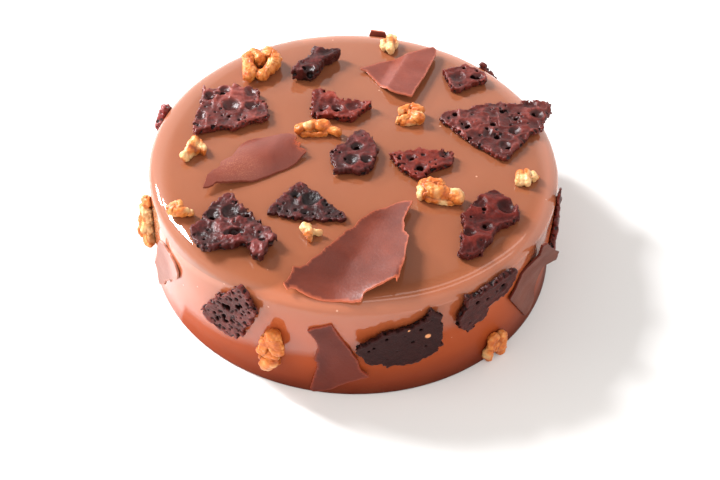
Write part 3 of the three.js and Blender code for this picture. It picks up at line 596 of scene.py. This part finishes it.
def dig(field, grid, centre, radius):
    """Takes a ball out of the field, looking only at the grid round it."""
    block = []
    for values, middle in zip(grid, centre):
        near = np.nonzero(np.abs(values - middle) < radius + 3 * VOXEL)[0]
        if len(near) == 0:
            return
        block.append(slice(near[0], near[-1] + 1))
    x, y, z = (v[s] - c for v, s, c in zip(grid, block, centre))
    away = radius - np.sqrt(x[:, None, None] ** 2 + y[None, :, None] ** 2 + z[None, None, :] ** 2)
    where = tuple(block)
    field[where] = smooth_max(field[where], away, PORE_EDGE)


def pores_of(piece, outline, place, under, face):
    """Balls of air (x, y, z, radius): those the photograph shows, then others drawn by chance.

    place, under and face are the functions of its aerated_piece.
    """
    rng = np.random.default_rng(piece["seed"])
    thickness = piece["thickness"]
    _, _, on_face, on_sides, _ = FACES[piece.get("face", "plain")]
    pores = []
    for px, py, radius in piece.get("holes", []):
        x, y = place(px, py)
        height = float(face(x, y))
        pores.append((x, y, height - radius * 0.35, radius))
        pores.append((x, y, height - radius * 1.1, radius * 0.95))
    size = np.ptp(outline, 0)
    for _ in range(int(size[0] * size[1] * on_face)):
        x, y = outline.min(0) + size * rng.random(2)
        radius = PORE_RADIUS + 0.5 * rng.random() ** 2
        pores.append((x, y, float(face(x, y)) - radius * 0.3, radius))
    for start, end in zip(outline, np.roll(outline, -1, 0)):
        along = end - start
        length = np.hypot(*along)
        inward = np.array([-along[1], along[0]]) / length
        for _ in range(rng.poisson(length * thickness * on_sides)):
            radius = PORE_RADIUS + 0.6 * rng.random() ** 3
            x, y = start + along * rng.random() + inward * radius * (rng.random() - 0.3)
            pores.append((x, y, float(under(x, y)) + thickness * rng.random() * 0.9, radius))
    return pores


def aerated_piece(piece, material):
    """Broken aerated chocolate: a wavy plate with bowls and pores, ragged and porous all round."""
    seed, thickness = piece["seed"], piece["thickness"]
    outline, lift = outline_of(piece, thickness)
    swell, grit, _, _, rounding = FACES[piece.get("face", "plain")]
    ridges = piece.get("ridges", RIDGES)
    taper_way, taper, taper_start = piece.get("taper", (0, 0, 0))
    thinned = share_across(outline, taper_way)

    def place(px, py):
        first = seen_at(piece, (px, py), GAP + thickness)[0]
        return seen_at(piece, (px, py), GAP + thickness + lift(*first))[0]

    bowls = [(*place(px, py), r, -depth) for px, py, r, depth in piece.get("craters", [])]
    bowls += [(*place(px, py), r * LUMP_SPREAD, tall) for px, py, r, tall in piece.get("lumps", [])]

    def under(x, y):
        return GAP + lift(x, y)

    def face(x, y):
        height = under(x, y) + thickness - swell * SAG
        height = height - taper * unit((thinned(x, y) - taper_start) / (1 - taper_start))
        height = height + waves(x, y, 0, (*SWELLS, (*GRAIN, grit)), seed) * swell
        height = height + folds(x, y, 0, RIDGES_APART, seed + 6.2, 0.25) * swell * ridges
        across, play = BOWL_SWAY
        at_x = x + sway(x, y, 0, across, seed + 0.5) * play
        at_y = y + sway(x, y, 0, across, seed + 5.5) * play
        for bx, by, radius, rise in bowls:
            away = np.hypot(at_x - bx, at_y - by) / radius
            height = height + rise * unit(1 - away * away)
            if rise < 0:
                height = height - rise * LIP[0] * bell(away, *LIP[1:])
        return height

    low = [*(outline.min(0) - MARGIN), GRID_FLOOR]
    high = [*(outline.max(0) + MARGIN), float(face(*outline.T).max()) + MARGIN_ABOVE]
    grid = [np.arange(a, b + VOXEL, VOXEL) for a, b in zip(low, high)]
    x, y = grid[0][:, None], grid[1][None, :]
    z = grid[2][None, None, :]
    edge = outline_distance(outline, x, y) + waves(x, y, 0, RAG, seed)
    across, play = SIDE_GRAIN
    rough = sway(x[..., None], y[..., None], z, across, seed + 0.9) * play
    side = edge[..., None] + rough * unit(1 + edge[..., None] / RAG_DEPTH)
    crust = CRUST[0] * bell(edge, *CRUST[1:]) * noise(x, y, 0, 2.0, seed + 2.2)
    roof = (z - (face(x, y) + crust)[..., None]) * ROOF_SLOPE
    hollow = piece.get("undercut", UNDERCUT) * thickness * (0.3 + noise(x, y, 0, 4.0, seed + 7.3))
    hollow = hollow * unit(1 + edge / UNDERCUT_REACH) ** 1.5
    floor = (under(x, y) - SINK + hollow)[..., None] - z
    field = smooth_max(smooth_max(side, roof, rounding), floor, 0.3)
    pores = pores_of(piece, outline, place, under, face)
    for *centre, radius in pores:
        dig(field, grid, centre, radius)

    vertices, quads = largest_shell(*surface_net(field, grid))
    x, y, z = vertices.T
    nothing = np.zeros(len(vertices))
    # painted shade in the pores and the bowls; the bowl mask also makes the bowls smoother
    pore, bowl, speck = nothing, nothing, nothing
    for *centre, radius in pores:
        away = np.linalg.norm(vertices - centre, axis=1) / radius
        pore = np.maximum(pore, near(away, 1.25, 4))
    for bx, by, radius, rise in bowls:
        if rise < 0:
            away = np.hypot(x - bx, y - by) / radius
            bowl = np.maximum(bowl, near(away, 1.1, 3) * unit(-rise / 1.5))
    for px, py, radius in piece.get("specks", []):
        away = np.hypot(*(vertices[:, :2] - place(px, py)).T) / radius
        speck = np.maximum(speck, near(away, 1.1, 5))
    depth = face(x, y) - z
    # crests take bloom and painted highlight, hollows and sides painted shade
    crest = unit((z - under(x, y) - thickness) / CREST_HEIGHT + 0.55) * (1 - unit(depth))
    # a broken rim: its own redder colour and a painted glow of light through it
    torn = unit(1 + outline_distance(outline, x, y) / RAG_DEPTH)
    add_mesh(piece["name"], vertices, quads, placement(piece), material, piece["name"],
             "aerated_chocolate", pore=pore * unit(depth / 1.2), crest=crest, torn=torn, bowl=bowl,
             speck=speck)


KNOBS = 3.4  # mm across
KNOB_SHARE = 0.7  # play of a kernel's knobs, as a share of its thickest lobe's radius
KNOB_LIMIT = 2.0  # mm
SKIN_GRAIN = (1.1, 0.4)  # mm across, mm of play
KERNEL_MARGIN = 1.6  # mm that the grid reaches beyond the lobes
KERNEL_FLOOR = -3.0  # mm, where the grid starts


def walnut_piece(piece, material):
    """A broken walnut kernel: rounded lobes grown together, lightly furrowed."""
    seed = sum(map(ord, piece["name"]))
    lobes = []
    for x1, y1, x2, y2, radius, height in piece["lobes"]:
        ends = np.array([(x1, y1), (x2, y2)], float)
        if not piece.get("on_wall"):
            ends = seen_at(piece, ends, height)
        lobes.append((ends[0], ends[1], radius, height))
    knobbly = min(KNOB_LIMIT, KNOB_SHARE * max(r for _, _, r, _ in lobes) - 0.5)
    low = np.min([np.minimum(a, b) - r for a, b, r, _ in lobes], 0) - KERNEL_MARGIN
    high = np.max([np.maximum(a, b) + r for a, b, r, _ in lobes], 0) + KERNEL_MARGIN
    top = max(r + h for _, _, r, h in lobes) + KERNEL_MARGIN
    grid = [np.arange(a, b + WALNUT_VOXEL, WALNUT_VOXEL)
            for a, b in zip((*low, KERNEL_FLOOR), (*high, top))]

    def lobe_field(x, y, z):
        """Distance from the lobes, how much farther the second lobe is, and the furrows."""
        x = x + sway(x, y, z, KNOBS, seed) * knobbly
        y = y + sway(x, y, z, KNOBS, seed + 9.4) * knobbly
        z = z + sway(x, y, z, KNOBS, seed + 4.8) * knobbly * 0.5
        nearest, second = None, None
        for (ax, ay), (bx, by), radius, height in lobes:
            ex, ey = bx - ax, by - ay
            t = unit(((x - ax) * ex + (y - ay) * ey) / (ex * ex + ey * ey + 1e-9))
            up = z - height
            up = np.where(up < 0, up * radius / (height + 0.5), up)
            away = np.sqrt((x - ax - t * ex) ** 2 + (y - ay - t * ey) ** 2 + up**2) - radius
            if nearest is None:
                nearest, second = away, away + 9.0
            else:
                second = np.minimum(second, np.maximum(nearest, away))
                nearest = smooth_min(nearest, away, 0.6)
        furrow = np.maximum(folds(x, y, z, 2.9, seed + 3.1, 0.3),
                            0.5 * folds(x, y, z, 1.7, seed + 1.6, 0.35))
        return nearest, second - nearest, furrow

    x, y, z = np.meshgrid(*grid, indexing="ij")
    field, _, furrow = lobe_field(x, y, z)
    field = field + furrow * 0.3 * knobbly
    field = field + sway(x, y, z, SKIN_GRAIN[0], seed + 5.5) * SKIN_GRAIN[1] + 0.1
    field = smooth_max(field, SINK - GAP - 0.1 - over_glaze(piece, x, y, z), 0.2)
    if "azimuth" in piece:
        field = smooth_max(field, FLOOR_CLEARANCE - y, 0.3)
    vertices, quads = largest_shell(*surface_net(field, grid))
    _, apart, furrow = lobe_field(*vertices.T)
    flesh = unit((noise(*vertices.T, 4.2, seed + 7.7) + piece["cream"] - 0.85) * 5)
    # painted shade in the crevices between lobes and in the furrows, less on the broken flesh
    crevice = unit(unit(1 - apart / 0.7) * 0.8 + furrow * 0.4) * (1 - 0.6 * flesh)
    add_mesh(piece["name"], vertices, quads, placement(piece), material, piece["name"], "walnut",
             crevice=crevice, flesh=flesh)


SHARD_GRID = 1.2  # mm between points inside a shard
RIM_STEP = 0.6  # mm between points along its broken rim
RIM_BEVEL = 0.12  # mm, small enough that the thinnest spur of a rim keeps its two sides apart
RIM_ROWS = (0.8, 0.5, 0.2)  # heights of the points on the rim, as shares of the thickness
RIM_ON_FACE = 0.55  # how much of the rim's painted light the edge of the face takes
CHIPS = (1.3, 0.4)  # of the rim: mm across, mm of play
WARP = (8.0, 0.6)  # of the face, the same
SHARP_RIM = 32  # degrees between faces from which an edge looks sharp


def shard_piece(piece, material):
    """A smooth shard: a thin bent plate with a bevelled, slightly chipped rim."""
    coarse, lift = outline_of(piece, SHARD_THICKNESS)
    rim = []
    for start, end in zip(coarse, np.roll(coarse, -1, 0)):
        bits = max(1, round(float(np.hypot(*(end - start))) / RIM_STEP))
        rim += [start + (end - start) * bit / bits for bit in range(bits)]
    rim = np.array(rim)
    rim = (np.roll(rim, 1, 0) + 4 * rim + np.roll(rim, -1, 0)) / 6
    tangent = np.roll(rim, -1, 0) - np.roll(rim, 1, 0)
    outward = np.stack([tangent[:, 1], -tangent[:, 0]], 1)
    outward /= np.hypot(*outward.T)[:, None]
    rim = rim + outward * (sway(*rim.T, 0, CHIPS[0], piece["seed"]) * CHIPS[1])[:, None]
    count = len(rim)
    inner = rim - outward * RIM_BEVEL
    x, y = np.meshgrid(*(np.arange(low, high, SHARD_GRID) for low, high in zip(rim.min(0), rim.max(0))))
    deep = outline_distance(inner, x, y) < -0.5
    points = [Vector(p) for p in np.concatenate([inner, np.stack([x[deep], y[deep]], 1)])]
    ring = [[i, (i + 1) % count] for i in range(count)]
    flat, _, triangles, *_ = delaunay_2d_cdt(points, ring, [], 1, 1e-6)
    flat = np.array([tuple(p) for p in flat])

    def under(x, y):
        height = GAP - SINK + lift(x, y)
        return height + glaze_drop(x, y) if piece.get("draped") else height

    def outer(x, y):
        across, play = WARP
        return under(x, y) + SHARD_THICKNESS + sway(x, y, 0, across, piece["seed"] + 0.3) * play

    rows = [np.column_stack([flat, outer(*flat.T)]), np.column_stack([flat, under(*flat.T)])]
    rim_low = under(*rim.T)
    for share in RIM_ROWS:
        rows.append(np.column_stack([rim, rim_low + (outer(*rim.T) - rim_low) * share]))
    vertices = np.concatenate(rows)
    total = len(flat)
    faces = [list(t) for t in triangles]
    faces += [[i + total for i in reversed(t)] for t in triangles]
    starts = [0, *(2 * total + row * count for row in range(len(RIM_ROWS))), total]
    for upper, lower in zip(starts, starts[1:]):
        faces += [[upper + j, upper + i, lower + i, lower + j] for i, j in ring]
    # painted light on the rim, and a share of it on the edge of the face
    rim_share = np.zeros(len(vertices))
    rim_share[:count] = RIM_ON_FACE
    rim_share[2 * total:] = 1

    def patch(key):
        """How far a marked patch covers each vertex."""
        if key not in piece:
            return np.zeros(len(vertices))
        px, py, radius = piece[key]
        middle = seen_at(piece, (px, py), GAP + SHARD_THICKNESS)[0]
        return near(np.hypot(*(vertices[:, :2] - middle).T) / radius, 1.3, 1)

    add_mesh(piece["name"], vertices, faces, placement(piece), material, piece["name"],
             "smooth_chocolate", crease=SHARP_RIM, rim=rim_share, bloom=patch("bloom"),
             frayed=patch("frayed"))


AROUND = 360  # points round the cake
FOOT_EDGE = 0.7  # mm, bevel of the bottom edge
FOOT_STEPS, WALL_STEPS, RIM_STEPS, TOP_STEPS = 7, 29, 24, 32
FLOOR_RING = 60.0  # mm, radius of a ring on the underside
UNEVEN_WALL = ((22, 4.2, 0.5), (9, 6.1, 0.1))  # layers
UNEVEN_TOP = ((26, 8.3, 0.3),)
UNEVEN_RIM = ((11, 2.6, 0.12),)


def shares(steps):
    return [step / steps for step in range(1, steps + 1)]


def cake_piece(material):
    """The glazed cake: a turned body whose glaze runs a little uneven."""
    foot_radius, foot_start = CAKE_RADIUS + FOOT_SPREAD, FOOT_EDGE + 0.2
    wall_top, flat_radius = CAKE_HEIGHT - RIM_DOWN, CAKE_RADIUS - RIM_ACROSS
    profile = [(FLOOR_RING, 0), (foot_radius - FOOT_EDGE, 0), (foot_radius, FOOT_EDGE)]
    for share in shares(FOOT_STEPS):
        profile.append((CAKE_RADIUS + FOOT_SPREAD * (1 - share) ** 2,
                        foot_start + (FOOT_HEIGHT - foot_start) * share))
    for share in shares(WALL_STEPS):
        profile.append((CAKE_RADIUS, FOOT_HEIGHT + (wall_top - FOOT_HEIGHT) * share))
    for share in shares(RIM_STEPS):
        angle = math.pi / 2 * share
        profile.append((flat_radius + RIM_ACROSS * math.cos(angle), wall_top + RIM_DOWN * math.sin(angle)))
    for share in shares(TOP_STEPS)[:-1]:
        profile.append((flat_radius * (1 - share), CAKE_HEIGHT))
    angles = np.arange(AROUND) * 2 * math.pi / AROUND
    radius, height = (np.outer(values, np.ones(AROUND)) for values in np.array(profile).T)
    x, y = radius * np.cos(angles), radius * np.sin(angles)
    wall = unit((radius - 90) / 8)  # 0 on the flat top, 1 on the rim and the wall
    top = unit((height - 57) / 3)  # 0 on the wall, 1 on the flat top
    radius = radius + waves(x, y, height, UNEVEN_WALL) * wall * unit(height / 6)
    height = height + top * (waves(x, y, 0, UNEVEN_TOP) + waves(x, y, 0, UNEVEN_RIM) * wall)
    x, y = radius * np.cos(angles), radius * np.sin(angles)
    vertices = np.stack([x, y, height], 2).reshape(-1, 3)
    last = len(vertices) - AROUND
    vertices = np.concatenate([vertices, [[0, 0, 0], [0, 0, vertices[last:, 2].mean()]]])
    bottom, crown = len(vertices) - 2, len(vertices) - 1
    faces = []
    for a in range(AROUND):
        b = (a + 1) % AROUND
        faces += [[r + a, r + b, r + AROUND + b, r + AROUND + a] for r in range(0, last, AROUND)]
        faces += [[bottom, b, a], [crown, last + a, last + b]]
    add_mesh("glazed_cake", vertices, faces, Matrix.Identity(4), material, "cake", "glaze")


# ---------------- materials


def linear(red, green, blue):
    """Linear colour from display values of 0 to 255."""
    channels = [c / 255 for c in (red, green, blue)]
    return [c / 12.92 if c <= 0.04045 else ((c + 0.055) / 1.055) ** 2.4 for c in channels] + [1]


class Nodes:
    """Short names for building the nodes of a material or a world."""

    def __init__(self, owner, shader="Principled BSDF", coordinates="Object"):
        owner.use_nodes = True
        self.tree = owner.node_tree
        self.shader = self.tree.nodes[shader]
        self.place = self.tree.nodes.new("ShaderNodeTexCoord").outputs[coordinates]

    def put(self, socket, value):
        """Feeds an input from another node's output, or sets it.

        A colour of three numbers has display values of 0 to 255; one of four is linear.
        """
        if isinstance(value, bpy.types.NodeSocket):
            self.tree.links.new(value, socket)
        elif socket.type == "RGBA" and len(value) == 3:
            socket.default_value = linear(*value)
        else:
            socket.default_value = value

    def set(self, **values):
        """Sets or feeds inputs of the shader; _ in a name stands for a space."""
        for key, value in values.items():
            self.put(self.shader.inputs[key.replace("_", " ")], value)

    def add(self, kind, output, inputs, **settings):
        """Adds a node and returns one of its outputs."""
        node = self.tree.nodes.new("ShaderNode" + kind)
        for key, value in settings.items():
            setattr(node, key, value)
        for key, value in inputs.items():
            self.put(node.inputs[key], value)
        return node.outputs[output]

    def noise(self, scale, detail=2.0, roughness=0.5, distortion=0.0):
        """Noise whose blobs are about 1/scale metres across."""
        return self.add("TexNoise", "Fac", {"Vector": self.place, "Scale": scale, "Detail": detail,
                                            "Roughness": roughness, "Distortion": distortion})

    def dots(self, scale, radius):
        """Sparse dots: 1 inside a radius in metres of points about 1/scale metres apart, else 0."""
        away = self.add("TexVoronoi", "Distance", {"Vector": self.place, "Scale": scale})
        return self.span(away, radius * scale, radius * scale * 0.6)

    def attribute(self, name):
        return self.add("Attribute", "Fac", {}, attribute_name=name)

    def ramp(self, source, *stops):
        node = self.tree.nodes.new("ShaderNodeValToRGB")
        elements = node.color_ramp.elements
        while len(elements) < len(stops):
            elements.new(0.5)
        for element, (at, colour) in zip(elements, stops):
            element.position = at
            element.color = linear(*colour)
        self.put(node.inputs["Fac"], source)
        return node.outputs["Color"]

    def mix(self, factor, a, b):
        return self.add("Mix", 2, {0: factor, 6: a, 7: b}, data_type="RGBA")

    def span(self, source, low, high, to_low=0.0, to_high=1.0):
        """Carries values from low to high over to others, and holds them there beyond."""
        return self.add("MapRange", "Result", {"Value": source, "From Min": low, "From Max": high,
                                               "To Min": to_low, "To Max": to_high})

    def math(self, operation, a, b):
        return self.add("Math", 0, {0: a, 1: b}, operation=operation)

    def axis(self, letter):
        return self.add("SeparateXYZ", letter, {0: self.place})

    def bump(self, source, distance, strength):
        self.set(Normal=self.add("Bump", "Normal", {"Height": source, "Distance": distance,
                                                    "Strength": strength}))


def glaze_material():
    """Caramel mirror glaze: glossy as glass, with painted shade that darkens its colour towards the foot
    and painted light that pales it on the rim and on the left; below a wavy line it mirrors less.
    """
    material = bpy.data.materials.new("caramel_glaze")
    n = Nodes(material)
    uneven = n.math("MULTIPLY", n.math("SUBTRACT", n.noise(16), 0.5), 0.012)
    # painted light: on the left the ramp below is read higher up, so the wall there comes out paler
    left = n.span(n.axis("X"), -0.03, -0.1, 0, 0.015)
    height = n.span(n.math("ADD", n.axis("Z"), left), 0, 0.06)
    # painted shade and light: the ramp darkens the glaze towards the foot and pales it on the rim's
    # rounding
    colour = n.ramp(height, (0.0, (68, 23, 11)), (0.12, (110, 42, 20)), (0.3, (138, 58, 25)),
                    (0.6, (156, 70, 34)), (0.9, (150, 78, 46)), (0.95, (160, 91, 61)),
                    (0.985, (156, 89, 60)), (1.0, (130, 74, 48)))
    colour = n.mix(n.span(n.noise(60, 3.0), 0.3, 0.7, 0, 0.05), colour, (160, 92, 60))
    # tiny pale bubbles in the glaze, partly a painted highlight on them
    colour = n.mix(n.math("MULTIPLY", n.dots(90, 0.0006), 0.7), colour, (206, 158, 132))
    line = n.math("ADD", n.math("MULTIPLY", n.axis("X"), 0.2), 0.028)
    line = n.math("SUBTRACT", line, n.span(n.axis("X"), -0.078, -0.086, 0, 0.03))
    above = n.math("SUBTRACT", n.math("ADD", n.axis("Z"), uneven), line)
    n.set(Base_Color=colour, Roughness=0.45, Specular_IOR_Level=0.05,
          Coat_Weight=n.span(above, -0.003, 0.003, 0.06), Coat_Roughness=0.04, Coat_IOR=1.6,
          Subsurface_Weight=0.1, Subsurface_Radius=(0.004, 0.0018, 0.001))
    return material


# Aerated chocolate: its colours in the hollows, which is painted shade, between, and on the crests,
# which is bloom and painted highlight, then that of a broken rim, its own redder colour with a
# painted glow of light through the thin rim, and how strongly it mirrors.

AERATED_TONES = {
    "plain": ((42, 8, 6), (74, 19, 13), (118, 50, 42), (112, 34, 22), 0.32),
    "brown": ((50, 10, 7), (86, 23, 16), (132, 60, 50), (112, 34, 22), 0.38),
    "red": ((50, 8, 5), (90, 23, 13), (130, 50, 36), (112, 34, 22), 0.25),
    "wine": ((28, 5, 4), (60, 13, 10), (108, 40, 36), (78, 20, 14), 0.28),
    "maroon": ((38, 7, 5), (70, 17, 12), (102, 34, 26), (82, 22, 15), 0.15),
    # a darker copy of maroon: painted shade for a piece in shade
    "umber": ((26, 5, 4), (54, 13, 9), (82, 27, 20), (64, 18, 12), 0.15),
    "dark": ((16, 3, 3), (48, 10, 9), (104, 38, 35), (84, 22, 18), 0.25),
    "ink": ((24, 5, 5), (38, 10, 9), (50, 18, 16), (52, 16, 12), 0.12),
    "glossy": ((70, 6, 3), (120, 16, 8), (150, 32, 16), (140, 24, 12), 0.7),
}


def aerated_material(tone):
    material = bpy.data.materials.new("aerated_chocolate_" + tone)
    n = Nodes(material)
    deep, middle, crest, torn, gloss = AERATED_TONES[tone]
    # how much painted shade the bowls take, and the depth of the bump
    in_bowls, relief = (0.85, 0.0004) if tone == "dark" else (0.5, 0.00025)
    grain = n.span(n.noise(420, 4.0, 0.6), 0.32, 0.68, 0.08, 0.42)
    # painted shade and highlight: the crest mask pales the crests and leaves the hollows and sides dark
    colour = n.ramp(n.math("ADD", grain, n.math("MULTIPLY", n.attribute("crest"), 0.55)),
                    (0.15, deep), (0.5, middle), (0.95, crest))
    # the broken rim's own redder colour with a painted glow of light through it
    colour = n.mix(n.math("MULTIPLY", n.attribute("torn"), 0.45), colour, torn)
    # painted shade in the bowls
    colour = n.mix(n.math("MULTIPLY", n.attribute("bowl"), in_bowls), colour, deep)
    # painted shade in the pores
    colour = n.mix(n.attribute("pore"), colour, (16, 3, 3))
    colour = n.mix(n.attribute("speck"), colour, (206, 140, 96))
    rough = n.span(n.noise(330, 4.0), 0.3, 0.7, 0.34, 0.48)
    rough = n.math("SUBTRACT", rough, n.math("MULTIPLY", n.attribute("bowl"), 0.04))
    n.set(Base_Color=colour, Roughness=rough, Specular_IOR_Level=gloss)
    n.bump(n.noise(1100, 4.0, 0.6), relief, 0.8)
    return material


# Smooth chocolate: its two mottled colours, that of its rim, which is painted light on the thin rim, and
# how strongly it mirrors.

SHARD_TONES = {
    "plain": ((92, 36, 25), (122, 57, 43), (166, 90, 68), 0.45),
    "warm": ((82, 31, 19), (104, 44, 29), (176, 88, 58), 0.32),
    "dusky": ((92, 38, 27), (116, 56, 43), (116, 54, 40), 0.4),
    # deep and olive are darker copies as painted shade, for pieces in shade on the wall; pale is a paler
    # copy as painted light, for a piece on the lit left of the wall
    "deep": ((74, 24, 15), (92, 34, 22), (136, 58, 38), 0.2),
    "olive": ((88, 38, 24), (106, 52, 35), (84, 30, 20), 0.15),
    "pale": ((138, 92, 82), (152, 108, 98), (170, 110, 90), 0.5),
}


def shard_material(tone):
    material = bpy.data.materials.new("smooth_chocolate_" + tone)
    n = Nodes(material)
    low, high, lit, gloss = SHARD_TONES[tone]
    colour = n.ramp(n.noise(36, 4.0, 0.55, 0.5), (0.35, low), (0.65, high))
    grains = n.math("MULTIPLY", n.span(n.noise(2200), 0.5, 0.64), n.attribute("bloom"))
    colour = n.mix(n.math("MULTIPLY", grains, 0.35), colour, (176, 118, 88))
    # painted light on the thin rim and the edge of the face
    colour = n.mix(n.attribute("rim"), colour, lit)
    threads = n.span(n.noise(500, 3.0, 0.6, 1.5), 0.42, 0.56)
    colour = n.mix(n.math("MULTIPLY", threads, n.attribute("frayed")), colour, (184, 86, 46))
    n.set(Base_Color=colour, Roughness=n.span(n.noise(90), 0.3, 0.7, 0.36, 0.48),
          Specular_IOR_Level=gloss, Subsurface_Weight=0.12,
          Subsurface_Radius=(0.002, 0.0008, 0.0004))
    n.bump(n.noise(700, 4.0), 0.0003, 0.4)
    return material


def walnut_material():
    material = bpy.data.materials.new("walnut_kernel")
    n = Nodes(material)
    skin = n.ramp(n.noise(230, 3.0), (0.28, (158, 70, 20)), (0.5, (188, 102, 39)), (0.75, (206, 138, 74)))
    cream = n.ramp(n.noise(320), (0.3, (196, 147, 92)), (0.7, (206, 172, 124)))
    colour = n.mix(n.attribute("flesh"), skin, cream)
    # painted shade in the crevices
    colour = n.mix(n.span(n.attribute("crevice"), 0.2, 0.9, 0.0, 0.75), colour, (104, 42, 10))
    n.set(Base_Color=colour, Roughness=0.45, Specular_IOR_Level=0.4, Subsurface_Weight=0.2,
          Subsurface_Radius=(0.003, 0.0015, 0.0008))
    n.bump(n.noise(1200, 3.0), 0.0003, 0.35)
    return material


# ---------------- stage, light and camera

FLOOR_REACH = 3.0  # m from the middle to each side
AIM = Vector((0, 0, 0.03))  # m, where the lights point
DAYLIGHT = (0.97, 0.98, 1.0)
STRIP_TURN = 27  # degrees


def pale_floor():
    """A bright matt surface under the cake."""
    mesh = bpy.data.meshes.new("floor")
    sides = ((-1, -1), (1, -1), (1, 1), (-1, 1))
    mesh.from_pydata([(x * FLOOR_REACH, y * FLOOR_REACH, 0) for x, y in sides], [], [[0, 1, 2, 3]])
    material = bpy.data.materials.new("pale_floor")
    Nodes(material).set(Base_Color=(0.73, 0.72, 0.71, 1), Roughness=0.5, Specular_IOR_Level=0.2)
    mesh.materials.append(material)
    add_object("floor", mesh)


def area_light(name, place, size, watts, colour):
    """A rectangular light, width and height in m, that faces the cake."""
    light = bpy.data.lights.new(name, "AREA")
    light.shape = "RECTANGLE"
    light.size, light.size_y = size
    light.energy = watts
    light.color = colour
    lamp = add_object(name, light)
    lamp.location = place
    lamp.rotation_euler = (AIM - Vector(place)).to_track_quat("-Z", "Y").to_euler()
    return lamp


def compass(azimuth, elevation, distance=1.5):
    """The place at a distance in m from the cake, in a direction given in degrees."""
    turn, climb = math.radians(azimuth), math.radians(elevation)
    return (distance * math.cos(climb) * math.cos(turn), distance * math.cos(climb) * math.sin(turn),
            distance * math.sin(climb) + 0.05)


def set_lights():
    """The window behind on the left, soft light from the front and left, and two bright strips."""
    area_light("window_upper", compass(153, 41), (0.27, 0.42), 42, DAYLIGHT)
    area_light("window_lower", compass(151, 24), (0.2, 0.14), 13, DAYLIGHT)
    fill = area_light("fill", (0.5, -1.1, 0.85), (1.0, 0.7), 6.5, (1.0, 0.97, 0.93))
    bounce = area_light("left_bounce", (-1.15, -0.3, 0.2), (0.6, 0.4), 10, (1.0, 0.93, 0.86))
    for lamp in (fill, bounce):
        lamp.visible_glossy = False
    for name, place in (("strip_near", (0.5, 0.12, 1.25)), ("strip_far", (0.42, 0.38, 1.25))):
        strip = area_light(name, place, (1.3, 0.12), 0.9, (1.0, 0.93, 0.9))
        strip.rotation_euler = (0, 0, math.radians(STRIP_TURN))
        strip.visible_diffuse = False


def set_world():
    """A pale room: bright low down, on the right and from overhead to the front, dim behind.

    X, Y and Z are the parts of a direction, from -1 to 1.
    """
    world = bpy.data.worlds.new("studio")
    n = Nodes(world, "Background", "Generated")
    low_down = n.math("MULTIPLY", n.span(n.axis("Z"), 0.56, 0.75, 1.5, 0.08),
                      n.span(n.axis("Y"), -0.6, 0.2, 0.85))
    elsewhere = n.math("MAXIMUM", n.span(n.axis("X"), 0.25, 0.6, 0.06, 0.9),
                       n.span(n.axis("Y"), 0.2, -0.2, 0.0, 1.1))
    n.set(Color=(1.0, 0.985, 0.97, 1), Strength=n.math("MAXIMUM", low_down, elsewhere))
    scene.world = world


def set_camera():
    """The photograph's view."""
    right, up, ahead = camera_axes()
    matrix = Matrix((right, up, -ahead)).transposed().to_4x4()
    matrix.translation = Vector(CAMERA_AT) * MM
    data = bpy.data.cameras.new("camera")
    data.sensor_width = SENSOR
    data.lens = LENS
    data.clip_start = 0.01
    camera = add_object("camera", data)
    camera.matrix_world = matrix
    scene.camera = camera


# ---------------- build

cake_piece(glaze_material())
aerated_materials = {tone: aerated_material(tone) for tone in AERATED_TONES}
for entry in AERATED:
    aerated_piece(entry, aerated_materials[entry.get("tone", "plain")])
shard_materials = {tone: shard_material(tone) for tone in SHARD_TONES}
for entry in SHARDS:
    shard_piece(entry, shard_materials[entry.get("tone", "plain")])
kernel = walnut_material()
for entry in WALNUTS:
    walnut_piece(entry, kernel)
pale_floor()
set_lights()
set_camera()
set_world()
scene.view_settings.view_transform = "Standard"
scene.view_settings.look = "None"
